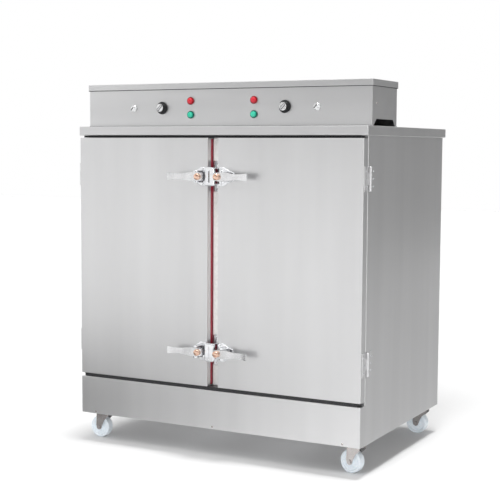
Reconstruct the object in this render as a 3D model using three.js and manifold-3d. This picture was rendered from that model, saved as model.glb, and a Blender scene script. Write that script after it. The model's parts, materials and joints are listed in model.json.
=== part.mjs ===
// A double-door electric bun steamer cabinet on casters, with a control box on top.
// Millimetres, +X right, +Y back, +Z up. The origin is on the floor, below the middle of the whole.
// Inside this file y is measured from the doors' front face, and the last group moves it back.
import * as THREE from "three";
import { mergeVertices } from "three/addons/utils/BufferGeometryUtils.js";
import Module from "manifold-3d";

const wasm = await Module();
wasm.setup();

// Driving dimensions of the cabinet
const BODY_WIDTH = 1040;
const BODY_DEPTH = 685;
const CASTER_HEIGHT = 100;
const SKIRT_HEIGHT = 127;
const SKIRT_TO_DOOR = 12;
const DOOR_HEIGHT = 807;
const DOOR_THICKNESS = 34;
const DOOR_TO_LID = 8;
const DOOR_STANDOFF = 2;
const CENTRE_GAP = 38;
const TOP_HEIGHT = 30;
const TOP_SIDE_OVERHANG = 9.5;
const TOP_FRONT_SETBACK = 8.4;
const TOP_REAR_OVERHANG = 3;
const SHEET = 1.2;
const FIT = 0.3;
const FOLD = 2;

// Driving dimensions of the chambers
const DOOR_OVERLAP = 31;
const SIDE_INSULATION = 44;
const MULLION = 88;
const REAR_INSULATION = 33;
const JAMB_DEPTH = 24;

// Driving dimensions of the control box
const BOX_WIDTH = 1042;
const BOX_SETBACK = 58;
const BOX_DEPTH = 207;
const BOX_HEIGHT = 142;
const BOX_LID_FLANGE = 20;
const BOX_LID_OVERHANG = 3;

// Places of the controls on the panel, from the middle and above the cabinet's top
const TIMER_X = 227;
const TIMER_RISE = 61;
const SELECTOR_X = 338;
const SELECTOR_RISE = 60;
const LAMP_X = 117;
const RED_LAMP_RISE = 83;
const GREEN_LAMP_RISE = 38;

// Heights of the two rows of latches and hinges
const FITTING_ROWS = { upper: 923, lower: 356 };

// Hinge axis, and the swivel axes of the casters
const HINGE_OUT = 6.5;
const CASTER_X = 477;
const CASTER_FRONT = 80;
const CASTER_REAR = 677;
const CASTER_TRAIL = 16;
const FRONT_RIGHT_TWIST = 10;

// Planes that follow from those
const HALF_WIDTH = BODY_WIDTH / 2;
const BODY_FRONT = DOOR_THICKNESS + DOOR_STANDOFF;
const BODY_REAR = BODY_FRONT + BODY_DEPTH;
const SKIRT_TOP = CASTER_HEIGHT + SKIRT_HEIGHT;
const DOOR_BOTTOM = SKIRT_TOP + SKIRT_TO_DOOR;
const DOOR_TOP = DOOR_BOTTOM + DOOR_HEIGHT;
const DOOR_EDGE = CENTRE_GAP / 2;
const TOP_BOTTOM = DOOR_TOP + DOOR_TO_LID;
const TOP_FACE = TOP_BOTTOM + TOP_HEIGHT;
const PANEL_HEAD = TOP_BOTTOM - FIT;
const TOP_REAR = BODY_REAR + TOP_REAR_OVERHANG;
const CHAMBER_IN = MULLION / 2;
const CHAMBER_OUT = HALF_WIDTH - SIDE_INSULATION;
const CHAMBER_REAR = BODY_REAR - SHEET - REAR_INSULATION;
const SILL = DOOR_BOTTOM + DOOR_OVERLAP;
const HEAD = DOOR_TOP - DOOR_OVERLAP;
const FRAME_BOTTOM = SKIRT_TOP - FOLD;
const HINGE_X = HALF_WIDTH + HINGE_OUT;
const PANEL_FACE = BOX_SETBACK;
const BOX_REAR = BOX_SETBACK + BOX_DEPTH;
const BOX_TOP = TOP_FACE + BOX_HEIGHT;
const LATCH_PROUD = 48;
const DEPTH_MIDDLE = (TOP_REAR - LATCH_PROUD) / 2;

// Turning a geometry into a closed solid

function solid(geometry) {
  const bare = new THREE.BufferGeometry();
  bare.setAttribute("position", geometry.getAttribute("position").clone());
  if (geometry.index) bare.setIndex(geometry.index.clone());
  const merged = mergeVertices(bare, 1e-4);
  const corners = merged.index.array;
  const faces = [];
  for (let i = 0; i < corners.length; i += 3) {
    const [a, b, c] = [corners[i], corners[i + 1], corners[i + 2]];
    if (a !== b && b !== c && c !== a) faces.push(a, b, c);
  }
  const made = solidOf(merged, faces);
  if (made.volume() > 0) return made;
  return solidOf(merged, faces.reverse());
}

function solidOf(merged, faces) {
  return new wasm.Manifold(
    new wasm.Mesh({
      numProp: 3,
      vertProperties: new Float32Array(merged.attributes.position.array),
      triVerts: new Uint32Array(faces),
    }),
  );
}

function geometryOf(made) {
  const mesh = made.getMesh();
  const count = mesh.numVert;
  const places = new Float32Array(count * 3);
  for (let i = 0; i < count; i++) {
    places.set(mesh.vertProperties.subarray(i * mesh.numProp, i * mesh.numProp + 3), i * 3);
  }
  const geometry = new THREE.BufferGeometry();
  geometry.setAttribute("position", new THREE.BufferAttribute(places, 3));
  geometry.setIndex(new THREE.BufferAttribute(new Uint32Array(mesh.triVerts), 1));
  geometry.computeVertexNormals();
  return geometry;
}

const join = (first, ...others) => others.reduce((sum, next) => sum.add(next), first);
const cut = (first, ...others) => others.reduce((rest, next) => rest.subtract(next), first);

// A box from its lowest to its highest corner.
function block(low, high) {
  const from = new THREE.Vector3(...low);
  const size = new THREE.Vector3(...high).sub(from);
  const geometry = new THREE.BoxGeometry(size.x, size.y, size.z);
  geometry.translate(from.x + size.x / 2, from.y + size.y / 2, from.z + size.z / 2);
  return solid(geometry);
}

// Outlines are extruded along an axis: (x, y) along Z, (x, z) along Y and (y, z) along X.
const AXES = {
  x: [new THREE.Vector3(0, 1, 0), new THREE.Vector3(0, 0, 1), new THREE.Vector3(1, 0, 0)],
  y: [new THREE.Vector3(1, 0, 0), new THREE.Vector3(0, 0, 1), new THREE.Vector3(0, -1, 0)],
  z: [new THREE.Vector3(1, 0, 0), new THREE.Vector3(0, 1, 0), new THREE.Vector3(0, 0, 1)],
};

function extrude(outline, axis, from, to, { bevel = 0, curve = 2 } = {}) {
  const shape = Array.isArray(outline)
    ? new THREE.Shape(outline.map((p) => new THREE.Vector2(...p)))
    : outline;
  const geometry = new THREE.ExtrudeGeometry(shape, {
    depth: to - from - 2 * bevel,
    curveSegments: curve,
    bevelEnabled: bevel > 0,
    bevelThickness: bevel,
    bevelSize: bevel,
    bevelOffset: -bevel,
    bevelSegments: 1,
  });
  geometry.translate(0, 0, bevel);
  geometry.applyMatrix4(new THREE.Matrix4().makeBasis(...AXES[axis]));
  const start = axis === "y" ? to : from;
  const shift = { x: 0, y: 0, z: 0, [axis]: start };
  geometry.translate(shift.x, shift.y, shift.z);
  return solid(geometry);
}

function roundedRectangle(left, right, low, high, radius) {
  const shape = new THREE.Shape();
  shape.moveTo(left + radius, low);
  shape.lineTo(right - radius, low);
  shape.absarc(right - radius, low + radius, radius, -Math.PI / 2, 0);
  shape.lineTo(right, high - radius);
  shape.absarc(right - radius, high - radius, radius, 0, Math.PI / 2);
  shape.lineTo(left + radius, high);
  shape.absarc(left + radius, high - radius, radius, Math.PI / 2, Math.PI);
  shape.lineTo(left, low + radius);
  shape.absarc(left + radius, low + radius, radius, Math.PI, 1.5 * Math.PI);
  return shape;
}

// A round bar, or a hexagonal one with six sides, along an axis.
function rod(axis, radius, from, to, at = [0, 0], sides = 16) {
  const geometry = new THREE.CylinderGeometry(radius, radius, to - from, sides);
  geometry.translate(0, (from + to) / 2, 0);
  if (axis === "z") {
    geometry.rotateX(Math.PI / 2);
    geometry.translate(at[0], at[1], 0);
  } else if (axis === "x") {
    geometry.rotateZ(-Math.PI / 2);
    geometry.translate(0, at[0], at[1]);
  } else {
    geometry.translate(at[0], 0, at[1]);
  }
  return solid(geometry);
}

// A turned piece. The profile's pairs are radius and distance out of the panel, towards the front.
function turnedForward(profile, sides) {
  const geometry = new THREE.LatheGeometry(profile.map((p) => new THREE.Vector2(...p)), sides);
  geometry.rotateX(Math.PI);
  return solid(geometry);
}

// Looks of the materials
const finish = (color, roughness, metalness) =>
  new THREE.MeshStandardMaterial({ color, roughness, metalness });
const MATERIALS = {
  steel: finish(0xc9cacc, 0.35, 1),
  liner: finish(0xbfc1c4, 0.4, 1),
  frame: finish(0x8f9296, 0.55, 1),
  chrome: finish(0xe6e8ec, 0.12, 1),
  zinc: finish(0xa9acb0, 0.35, 1),
  nylon: finish(0xe4eef8, 0.4, 0),
  silicone: finish(0x8e1f2a, 0.55, 0),
  black: finish(0x141416, 0.35, 0),
  red: finish(0xc01818, 0.2, 0),
  green: finish(0x158a4a, 0.2, 0),
  element: finish(0x6e6a68, 0.5, 1),
};

const root = new THREE.Group();
const cabinet = new THREE.Group();
cabinet.position.y = -DEPTH_MIDDLE;
root.add(cabinet);

function part(name, shape, material, parent = cabinet) {
  const mesh = new THREE.Mesh(geometryOf(shape), MATERIALS[material]);
  mesh.name = name;
  parent.add(mesh);
  return mesh;
}

// Everything of the right half is made once, and the left half is its mirror image.
const HALVES = [
  ["left", -1],
  ["right", 1],
].map(([side, sign]) => {
  const group = new THREE.Group();
  group.scale.x = sign;
  cabinet.add(group);
  return { side, group };
});

function partOnBothSides(nameOf, shape, material) {
  for (const { side, group } of HALVES) part(nameOf(side), shape, material, group);
}

// Base frame: an angle-iron ring with two cross members and a plate in each corner
const ANGLE = 40;
const ANGLE_THICKNESS = 4;
const FRAME_SIDE = HALF_WIDTH - SHEET - FIT;
const FRAME_FRONT = BODY_FRONT + SHEET + FIT;
const FRAME_REAR = BODY_REAR - SHEET - FIT;
const FRAME_FOOT = CASTER_HEIGHT + FIT;
const FRAME_TOP = FRAME_FOOT + ANGLE;
const CROSS_MEMBER_X = 160;
const CORNER_PLATE = 85;

// One solid block, from which the bays are cut out: first above the feet of the angles, then through.
function baseFrame() {
  const low = FRAME_FOOT - 1;
  const high = FRAME_TOP + 1;
  const foot = FRAME_FOOT + ANGLE_THICKNESS;
  const web = CROSS_MEMBER_X + ANGLE_THICKNESS;
  const wall = FRAME_SIDE - ANGLE_THICKNESS;
  const [front, rear] = [FRAME_FRONT + ANGLE_THICKNESS, FRAME_REAR - ANGLE_THICKNESS];
  const [flangeFront, flangeRear] = [FRAME_FRONT + ANGLE, FRAME_REAR - ANGLE];
  const flange = FRAME_SIDE - ANGLE;
  const crossFoot = CROSS_MEMBER_X + ANGLE;
  const plate = FRAME_SIDE - CORNER_PLATE;
  const sideBay = [
    [crossFoot, flangeFront],
    [plate, flangeFront],
    [plate, FRAME_FRONT + CORNER_PLATE],
    [flange, FRAME_FRONT + CORNER_PLATE],
    [flange, FRAME_REAR - CORNER_PLATE],
    [plate, FRAME_REAR - CORNER_PLATE],
    [plate, flangeRear],
    [crossFoot, flangeRear],
  ];
  const mirrored = sideBay.map(([x, y]) => [-x, y]).reverse();
  return cut(
    block([-FRAME_SIDE, FRAME_FRONT, FRAME_FOOT], [FRAME_SIDE, FRAME_REAR, FRAME_TOP]),
    block([-wall, front, foot], [-web, rear, high]),
    block([-CROSS_MEMBER_X, front, foot], [CROSS_MEMBER_X, rear, high]),
    block([web, front, foot], [wall, rear, high]),
    block([-CROSS_MEMBER_X, flangeFront, low], [CROSS_MEMBER_X, flangeRear, high]),
    extrude(sideBay, "z", low, foot + 1),
    extrude(mirrored, "z", low, foot + 1),
  );
}

part("base_frame", baseFrame(), "frame");

// Side panels: one sheet each, folded in at the front and the rear
const FRONT_RETURN = 12;
const REAR_RETURN = 20;

function sidePanel() {
  const outer = HALF_WIDTH;
  const inner = HALF_WIDTH - SHEET;
  const shape = new THREE.Shape();
  shape.moveTo(outer - FRONT_RETURN, BODY_FRONT);
  shape.lineTo(outer - FOLD, BODY_FRONT);
  shape.absarc(outer - FOLD, BODY_FRONT + FOLD, FOLD, -Math.PI / 2, 0);
  shape.lineTo(outer, BODY_REAR - FOLD);
  shape.absarc(outer - FOLD, BODY_REAR - FOLD, FOLD, 0, Math.PI / 2);
  shape.lineTo(outer - REAR_RETURN, BODY_REAR);
  shape.lineTo(outer - REAR_RETURN, BODY_REAR - SHEET);
  shape.lineTo(inner, BODY_REAR - SHEET);
  shape.lineTo(inner, BODY_FRONT + SHEET);
  shape.lineTo(outer - FRONT_RETURN, BODY_FRONT + SHEET);
  return extrude(shape, "z", CASTER_HEIGHT, PANEL_HEAD, { curve: 1 });
}

partOnBothSides((side) => `${side}_side_panel`, sidePanel(), "steel");

// Pipe sockets that come through the back panel
const SOCKET_RADIUS = 13;
const SOCKET_BORE = 8.5;
const SOCKET_HOLE = 15;
const SOCKET_END = BODY_REAR + 2;
const INLET = [150, 236];
const DRAIN = [250, 172];
const VENT = [260, 985];
const VENT_RADIUS = 20;
const VENT_BORE = 16;
const VENT_HOLE = 22;

function backPanel() {
  const side = HALF_WIDTH - REAR_RETURN - FIT;
  const sheet = block([-side, BODY_REAR - SHEET, CASTER_HEIGHT + FIT], [side, BODY_REAR, PANEL_HEAD]);
  const topReturn = block(
    [-side, BODY_REAR - FRONT_RETURN, PANEL_HEAD - SHEET],
    [side, BODY_REAR - SHEET / 2, PANEL_HEAD],
  );
  const sockets = [
    [INLET, SOCKET_HOLE],
    [DRAIN, SOCKET_HOLE],
    [VENT, VENT_HOLE],
  ];
  const holes = sockets.flatMap(([[x, z], radius]) =>
    [-x, x].map((place) => rod("y", radius, BODY_REAR - 2 * SHEET, BODY_REAR + SHEET, [place, z], 10)),
  );
  return cut(join(sheet, topReturn), ...holes);
}

part("back_panel", backPanel(), "steel");

// Cabinet top: a hollow insulated panel with a hole in its underside for the foam
const FOAM_HOLE = 12;

function cabinetTop() {
  const side = HALF_WIDTH + TOP_SIDE_OVERHANG;
  const outline = roundedRectangle(-side, side, TOP_FRONT_SETBACK, TOP_REAR, FOLD);
  const hollow = block(
    [-side + SHEET, TOP_FRONT_SETBACK + SHEET, TOP_BOTTOM + SHEET],
    [side - SHEET, TOP_REAR - SHEET, TOP_FACE - SHEET],
  );
  const middle = (TOP_FRONT_SETBACK + TOP_REAR) / 2;
  return cut(
    extrude(outline, "z", TOP_BOTTOM, TOP_FACE, { bevel: SHEET, curve: 1 }),
    hollow,
    rod("z", FOAM_HOLE, TOP_BOTTOM - SHEET, TOP_BOTTOM + 2 * SHEET, [0, middle], 12),
  );
}

part("cabinet_top", cabinetTop(), "steel");

// Front frame: the face with two doorways, each with a jamb that reaches back to its liner

function frontFrame() {
  const side = HALF_WIDTH - FRONT_RETURN - FIT;
  const face = block([-side, BODY_FRONT, FRAME_BOTTOM], [side, BODY_FRONT + SHEET, PANEL_HEAD]);
  const doorways = [];
  const jambs = [];
  for (const sign of [-1, 1]) {
    const left = Math.min(sign * CHAMBER_IN, sign * CHAMBER_OUT);
    const right = Math.max(sign * CHAMBER_IN, sign * CHAMBER_OUT);
    jambs.push(
      block(
        [left - SHEET, BODY_FRONT, SILL - SHEET],
        [right + SHEET, BODY_FRONT + JAMB_DEPTH, HEAD + SHEET],
      ),
    );
    doorways.push(
      block([left, BODY_FRONT - SHEET, SILL], [right, BODY_FRONT + JAMB_DEPTH + SHEET, HEAD]),
    );
  }
  return cut(join(face, ...jambs), ...doorways);
}

part("front_frame", frontFrame(), "steel");

// Liners: a box open to the front, with steam slots in its floor and a vent socket at the back
const LINER_FRONT = BODY_FRONT + JAMB_DEPTH + FIT;
const SLOT_COUNT = 7;
const SLOT_PITCH = 70;
const SLOT_WIDTH = 12;
const SLOT_INSET = 76;
const FIRST_SLOT = LINER_FRONT + 80;

function liner() {
  const shell = block(
    [CHAMBER_IN - SHEET, LINER_FRONT, SILL - SHEET],
    [CHAMBER_OUT + SHEET, CHAMBER_REAR + SHEET, HEAD + SHEET],
  );
  const chamber = block([CHAMBER_IN, LINER_FRONT - SHEET, SILL], [CHAMBER_OUT, CHAMBER_REAR, HEAD]);
  const slots = Array.from({ length: SLOT_COUNT }, (_, i) => {
    const front = FIRST_SLOT + i * SLOT_PITCH;
    return block(
      [CHAMBER_IN + SLOT_INSET, front, SILL - 2 * SHEET],
      [CHAMBER_OUT - SLOT_INSET, front + SLOT_WIDTH, SILL + SHEET],
    );
  });
  const vent = rod("y", VENT_RADIUS, CHAMBER_REAR + SHEET / 2, SOCKET_END, VENT, 12);
  const ventBore = rod("y", VENT_BORE, CHAMBER_REAR - SHEET, SOCKET_END + SHEET, VENT, 12);
  return cut(join(cut(shell, chamber, ...slots), vent), ventBore);
}

partOnBothSides((side) => `liner_${side}`, liner(), "liner");

// Tray racks: four posts, pairs of flat runners, and bars that tie the two sides together
const RACK_CLEARANCE = 0.5;
const POST = 12;
const POST_FRONT = 110;
const POST_REAR = 628;
const RUNNER_FRONT = 72;
const RUNNER_REAR = 662;
const RUNNER_LEDGE = 16;
const RUNNER_THICKNESS = 3;
const RUNNER_LEVELS = 5;
const FIRST_RUNNER = 310;
const RUNNER_PITCH = 140;
const TIE_BAR = 8;

function trayRack() {
  const foot = SILL + FIT;
  const head = HEAD - 6;
  const pieces = [];
  for (const inward of [1, -1]) {
    const wall = inward > 0 ? CHAMBER_IN + RACK_CLEARANCE : CHAMBER_OUT - RACK_CLEARANCE;
    const span = (near, far) => [
      Math.min(wall + inward * near, wall + inward * far),
      Math.max(wall + inward * near, wall + inward * far),
    ];
    const [postLow, postHigh] = span(0, POST);
    for (const y of [POST_FRONT, POST_REAR]) {
      pieces.push(block([postLow, y, foot], [postHigh, y + POST, head]));
    }
    for (let level = 0; level < RUNNER_LEVELS; level++) {
      const z = FIRST_RUNNER + level * RUNNER_PITCH;
      const [ledgeLow, ledgeHigh] = span(POST, POST + RUNNER_LEDGE);
      pieces.push(
        block([ledgeLow, RUNNER_FRONT, z - RUNNER_THICKNESS], [ledgeHigh, RUNNER_REAR, z]),
      );
    }
  }
  const left = CHAMBER_IN + RACK_CLEARANCE + POST / 2;
  const right = CHAMBER_OUT - RACK_CLEARANCE - POST / 2;
  for (const z of [foot, head - TIE_BAR]) {
    const y = POST_REAR + (POST - TIE_BAR) / 2;
    pieces.push(block([left, y, z], [right, y + TIE_BAR, z + TIE_BAR]));
  }
  const y = POST_FRONT + (POST - TIE_BAR) / 2;
  pieces.push(block([left, y, foot], [right, y + TIE_BAR, foot + TIE_BAR]));
  return join(...pieces);
}

partOnBothSides((side) => `tray_rack_${side}`, trayRack(), "liner");

// Boiler tanks: an open pan under each chamber, on pads on the base frame
const TANK_IN = 30;
const TANK_OUT = 482;
const TANK_FRONT = 74;
const TANK_REAR = 668;
const TANK_WALL = 1.5;
const TANK_PAD = 9;
const TANK_RIM = 10;
const TANK_BOTTOM = FRAME_TOP + FIT + TANK_PAD;
const TANK_TOP = SILL - SHEET - FIT;
const ELEMENT_X = 250;
const ELEMENT_Z = 196;
const ELEMENT_HOLE = 20;
const PAD_SIZE = 24;
const PAD_INSET = 60;

function boilerTank() {
  const pan = block([TANK_IN, TANK_FRONT, TANK_BOTTOM], [TANK_OUT, TANK_REAR, TANK_TOP]);
  const rim = block(
    [TANK_IN - TANK_RIM, TANK_FRONT - TANK_RIM, TANK_TOP - TANK_WALL],
    [TANK_OUT + TANK_RIM, TANK_REAR + TANK_RIM, TANK_TOP],
  );
  const water = block(
    [TANK_IN + TANK_WALL, TANK_FRONT + TANK_WALL, TANK_BOTTOM + TANK_WALL],
    [TANK_OUT - TANK_WALL, TANK_REAR - TANK_WALL, TANK_TOP + TANK_WALL],
  );
  const pads = [TANK_FRONT + PAD_INSET, TANK_REAR - PAD_INSET - PAD_SIZE].map((y) =>
    block(
      [CROSS_MEMBER_X, y, FRAME_TOP + FIT],
      [CROSS_MEMBER_X + PAD_SIZE, y + PAD_SIZE, TANK_BOTTOM + TANK_WALL / 2],
    ),
  );
  const sockets = [INLET, DRAIN].map((place) =>
    rod("y", SOCKET_RADIUS, TANK_REAR - TANK_WALL / 2, SOCKET_END, place, 12),
  );
  const bores = [INLET, DRAIN].map((place) =>
    rod("y", SOCKET_BORE, TANK_REAR - 2 * TANK_WALL, SOCKET_END + SHEET, place, 12),
  );
  const elementHole = rod(
    "y",
    ELEMENT_HOLE,
    TANK_FRONT - TANK_WALL,
    TANK_FRONT + 2 * TANK_WALL,
    [ELEMENT_X, ELEMENT_Z],
  );
  return cut(join(cut(join(pan, rim), water), ...pads, ...sockets), ...bores, elementHole);
}

partOnBothSides((side) => `boiler_tank_${side}`, boilerTank(), "liner");

// Heating elements: a wide hairpin tube in the water, on a hexagonal plug in the tank's front wall
const TUBE_RADIUS = 5;
const TUBE_LEG = 9;
const HAIRPIN_SPREAD = 70;
const HAIRPIN_REAR = 560;
const PLUG_RADIUS = 28;
const PLUG_HEX = 24;
const TERMINAL_REACH = 14;
const TUBE_STEPS = 22;

function hairpin() {
  const front = TANK_FRONT - 4;
  const bendFront = TANK_FRONT + 34;
  const bendRear = TANK_FRONT + 96;
  const half = [
    [TUBE_LEG, front],
    [TUBE_LEG, bendFront],
    [HAIRPIN_SPREAD, bendRear],
    [HAIRPIN_SPREAD, HAIRPIN_REAR - HAIRPIN_SPREAD],
  ];
  const path = new THREE.CurvePath();
  const at = (x, y) => new THREE.Vector3(ELEMENT_X + x, y, ELEMENT_Z);
  const bend = new THREE.CubicBezierCurve3(
    at(...half[1]),
    at(TUBE_LEG, (bendFront + bendRear) / 2),
    at(HAIRPIN_SPREAD, (bendFront + bendRear) / 2),
    at(...half[2]),
  );
  const bendBack = new THREE.CubicBezierCurve3(
    at(-HAIRPIN_SPREAD, bendRear),
    at(-HAIRPIN_SPREAD, (bendFront + bendRear) / 2),
    at(-TUBE_LEG, (bendFront + bendRear) / 2),
    at(-TUBE_LEG, bendFront),
  );
  const reach = HAIRPIN_SPREAD * (4 / 3);
  const turn = new THREE.CubicBezierCurve3(
    at(...half[3]),
    at(HAIRPIN_SPREAD, HAIRPIN_REAR - HAIRPIN_SPREAD + reach),
    at(-HAIRPIN_SPREAD, HAIRPIN_REAR - HAIRPIN_SPREAD + reach),
    at(-HAIRPIN_SPREAD, HAIRPIN_REAR - HAIRPIN_SPREAD),
  );
  path.add(new THREE.LineCurve3(at(...half[0]), at(...half[1])));
  path.add(bend);
  path.add(new THREE.LineCurve3(at(...half[2]), at(...half[3])));
  path.add(turn);
  path.add(new THREE.LineCurve3(at(-HAIRPIN_SPREAD, HAIRPIN_REAR - HAIRPIN_SPREAD), at(-HAIRPIN_SPREAD, bendRear)));
  path.add(bendBack);
  path.add(new THREE.LineCurve3(at(-TUBE_LEG, bendFront), at(-TUBE_LEG, front)));
  const section = new THREE.Shape();
  section.absarc(0, 0, TUBE_RADIUS, 0, 2 * Math.PI);
  const points = path.getSpacedPoints(TUBE_STEPS);
  const smooth = new THREE.CatmullRomCurve3(points);
  return solid(
    new THREE.ExtrudeGeometry(section, { extrudePath: smooth, steps: TUBE_STEPS, curveSegments: 3 }),
  );
}

function heatingElement() {
  const plate = rod("y", PLUG_RADIUS, TANK_FRONT - 6, TANK_FRONT - FIT, [ELEMENT_X, ELEMENT_Z], 14);
  const hexagon = rod("y", PLUG_HEX, TANK_FRONT - 14, TANK_FRONT - 5, [ELEMENT_X, ELEMENT_Z], 6);
  const terminals = [-1, 1].map((sign) =>
    rod(
      "y",
      3,
      TANK_FRONT - 14 - TERMINAL_REACH,
      TANK_FRONT - 12,
      [ELEMENT_X + sign * TUBE_LEG, ELEMENT_Z],
      8,
    ),
  );
  return join(plate, hexagon, ...terminals, hairpin());
}

partOnBothSides((side) => `heating_element_${side}`, heatingElement(), "element");

// Skirt: a folded panel below the doors, open to the rear
const SKIRT_FOOT_RETURN = 15;

function skirtPanel() {
  const rear = BODY_FRONT - FIT;
  const shape = roundedRectangle(-HALF_WIDTH, HALF_WIDTH, 0, rear + FOLD, FOLD);
  const outer = cut(
    extrude(shape, "z", CASTER_HEIGHT, SKIRT_TOP, { bevel: 1, curve: 1 }),
    block([-HALF_WIDTH - 1, rear, CASTER_HEIGHT - 1], [HALF_WIDTH + 1, rear + 2 * FOLD, SKIRT_TOP + 1]),
  );
  const inside = block(
    [-HALF_WIDTH + SHEET, SHEET, CASTER_HEIGHT + SHEET],
    [HALF_WIDTH - SHEET, rear + 1, SKIRT_TOP - SHEET],
  );
  const underside = block(
    [-HALF_WIDTH + SHEET, SKIRT_FOOT_RETURN, CASTER_HEIGHT - 1],
    [HALF_WIDTH - SHEET, rear + 1, CASTER_HEIGHT + 2 * SHEET],
  );
  return cut(outer, inside, underside);
}

part("skirt_panel", skirtPanel(), "steel");

// Doors: a hollow skin with a channel for the gasket behind the edge, open at the free side
const DOOR_EDGE_DEPTH = 20;
const DOOR_RIM = 3;
const GASKET_WIDTH = 15;
const GASKET_CLEARANCE = 0.4;
const DOOR_SKIN = 1.2;

function doorGasketRing(clearance, front, rear, bevel) {
  const left = DOOR_EDGE + clearance;
  const right = HALF_WIDTH - DOOR_RIM - clearance;
  const low = DOOR_BOTTOM + DOOR_RIM + clearance;
  const high = DOOR_TOP - DOOR_RIM - clearance;
  const width = GASKET_WIDTH - 2 * clearance;
  const ring = roundedRectangle(left, right, low, high, 1);
  const hole = new THREE.Path();
  hole.moveTo(left + width, low + width);
  hole.lineTo(left + width, high - width);
  hole.lineTo(right - width, high - width);
  hole.lineTo(right - width, low + width);
  ring.holes.push(hole);
  return extrude(ring, "y", front, rear, { bevel, curve: 1 });
}

function door() {
  const outline = roundedRectangle(DOOR_EDGE, HALF_WIDTH, 0, DOOR_THICKNESS, FOLD);
  const panel = extrude(outline, "z", DOOR_BOTTOM, DOOR_TOP, { bevel: SHEET, curve: 1 });
  const channel = cut(
    block(
      [DOOR_EDGE - 1, DOOR_EDGE_DEPTH, DOOR_BOTTOM + DOOR_RIM],
      [HALF_WIDTH - DOOR_RIM, DOOR_THICKNESS + 1, DOOR_TOP - DOOR_RIM],
    ),
    block(
      [DOOR_EDGE + GASKET_WIDTH, DOOR_EDGE_DEPTH - 1, DOOR_BOTTOM + DOOR_RIM + GASKET_WIDTH],
      [HALF_WIDTH - DOOR_RIM - GASKET_WIDTH, DOOR_THICKNESS + 2, DOOR_TOP - DOOR_RIM - GASKET_WIDTH],
    ),
  );
  const foam = join(
    block(
      [DOOR_EDGE + DOOR_SKIN, DOOR_SKIN, DOOR_BOTTOM + DOOR_SKIN],
      [HALF_WIDTH - DOOR_SKIN, DOOR_EDGE_DEPTH - DOOR_SKIN, DOOR_TOP - DOOR_SKIN],
    ),
    block(
      [DOOR_EDGE + GASKET_WIDTH + DOOR_SKIN, DOOR_SKIN, DOOR_BOTTOM + DOOR_RIM + GASKET_WIDTH + DOOR_SKIN],
      [
        HALF_WIDTH - DOOR_RIM - GASKET_WIDTH - DOOR_SKIN,
        DOOR_THICKNESS - DOOR_SKIN,
        DOOR_TOP - DOOR_RIM - GASKET_WIDTH - DOOR_SKIN,
      ],
    ),
  );
  const middle = (DOOR_EDGE + HALF_WIDTH) / 2;
  const foamHole = rod("z", 6, DOOR_BOTTOM - 1, DOOR_BOTTOM + 2 * SHEET, [middle, 10], 12);
  return cut(panel, channel, foam, foamHole);
}

partOnBothSides((side) => `door_${side}`, door(), "steel");
partOnBothSides(
  (side) => `door_gasket_${side}`,
  doorGasketRing(GASKET_CLEARANCE, DOOR_EDGE_DEPTH + FIT, BODY_FRONT - GASKET_CLEARANCE, 1.2),
  "silicone",
);

// Hinges: two leaves around a pin. The frame's leaf has the outer knuckles and holds the pin.
const HINGE_HALF = 37.5;
const KNUCKLE_RADIUS = 6.2;
const KNUCKLE_SPLIT = 18.8;
const HINGE_PIN = 3;
const HINGE_BORE = 3.6;
const LEAF_THICKNESS = 3.5;
const LEAF_START = 6.9;
const FRAME_LEAF_END = 44;
const DOOR_LEAF_END = 33;

// Each leaf is made about its own hinge axis.
function leaf(towards, end) {
  const from = Math.min(towards * LEAF_START, towards * end);
  const to = Math.max(towards * LEAF_START, towards * end);
  const thickness = [-KNUCKLE_RADIUS, -KNUCKLE_RADIUS + LEAF_THICKNESS];
  return block([thickness[0], from, -HINGE_HALF], [thickness[1], to, HINGE_HALF]);
}

function knuckle(towards, low, high) {
  const reach = towards * (LEAF_START + 1);
  return join(
    rod("z", KNUCKLE_RADIUS, low, high, [0, 0], 12),
    block(
      [-KNUCKLE_RADIUS, Math.min(0, reach), low],
      [-KNUCKLE_RADIUS + LEAF_THICKNESS, Math.max(0, reach), high],
    ),
  );
}

function frameLeaf() {
  return join(
    leaf(1, FRAME_LEAF_END),
    knuckle(1, KNUCKLE_SPLIT, HINGE_HALF),
    knuckle(1, -HINGE_HALF, -KNUCKLE_SPLIT),
    rod("z", HINGE_PIN, -HINGE_HALF, HINGE_HALF, [0, 0], 8),
  );
}

function doorLeaf() {
  const half = KNUCKLE_SPLIT - 0.4;
  return cut(
    join(leaf(-1, DOOR_LEAF_END), knuckle(-1, -half, half)),
    rod("z", HINGE_BORE, -HINGE_HALF, HINGE_HALF, [0, 0], 10),
  );
}

// Latches, made about the middle of the centre gap at their own height

const LATCH_PIN_X = 48;
const LATCH_PIN_Y = -26;
const LATCH_PIN_RADIUS = 4;
const LATCH_BORE = 4.6;
const LATCH_PLATE = 4;
const EAR_GAP = 14.6;
const EAR_THICKNESS = 4.4;
const EAR_RADIUS = 9;
const LEVER_HALF = 14;
const LEVER_HUB = 10;
const LEVER_TIP = 146;
const CAP_X = 35;
const CAP_RADIUS = 10.5;

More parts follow.
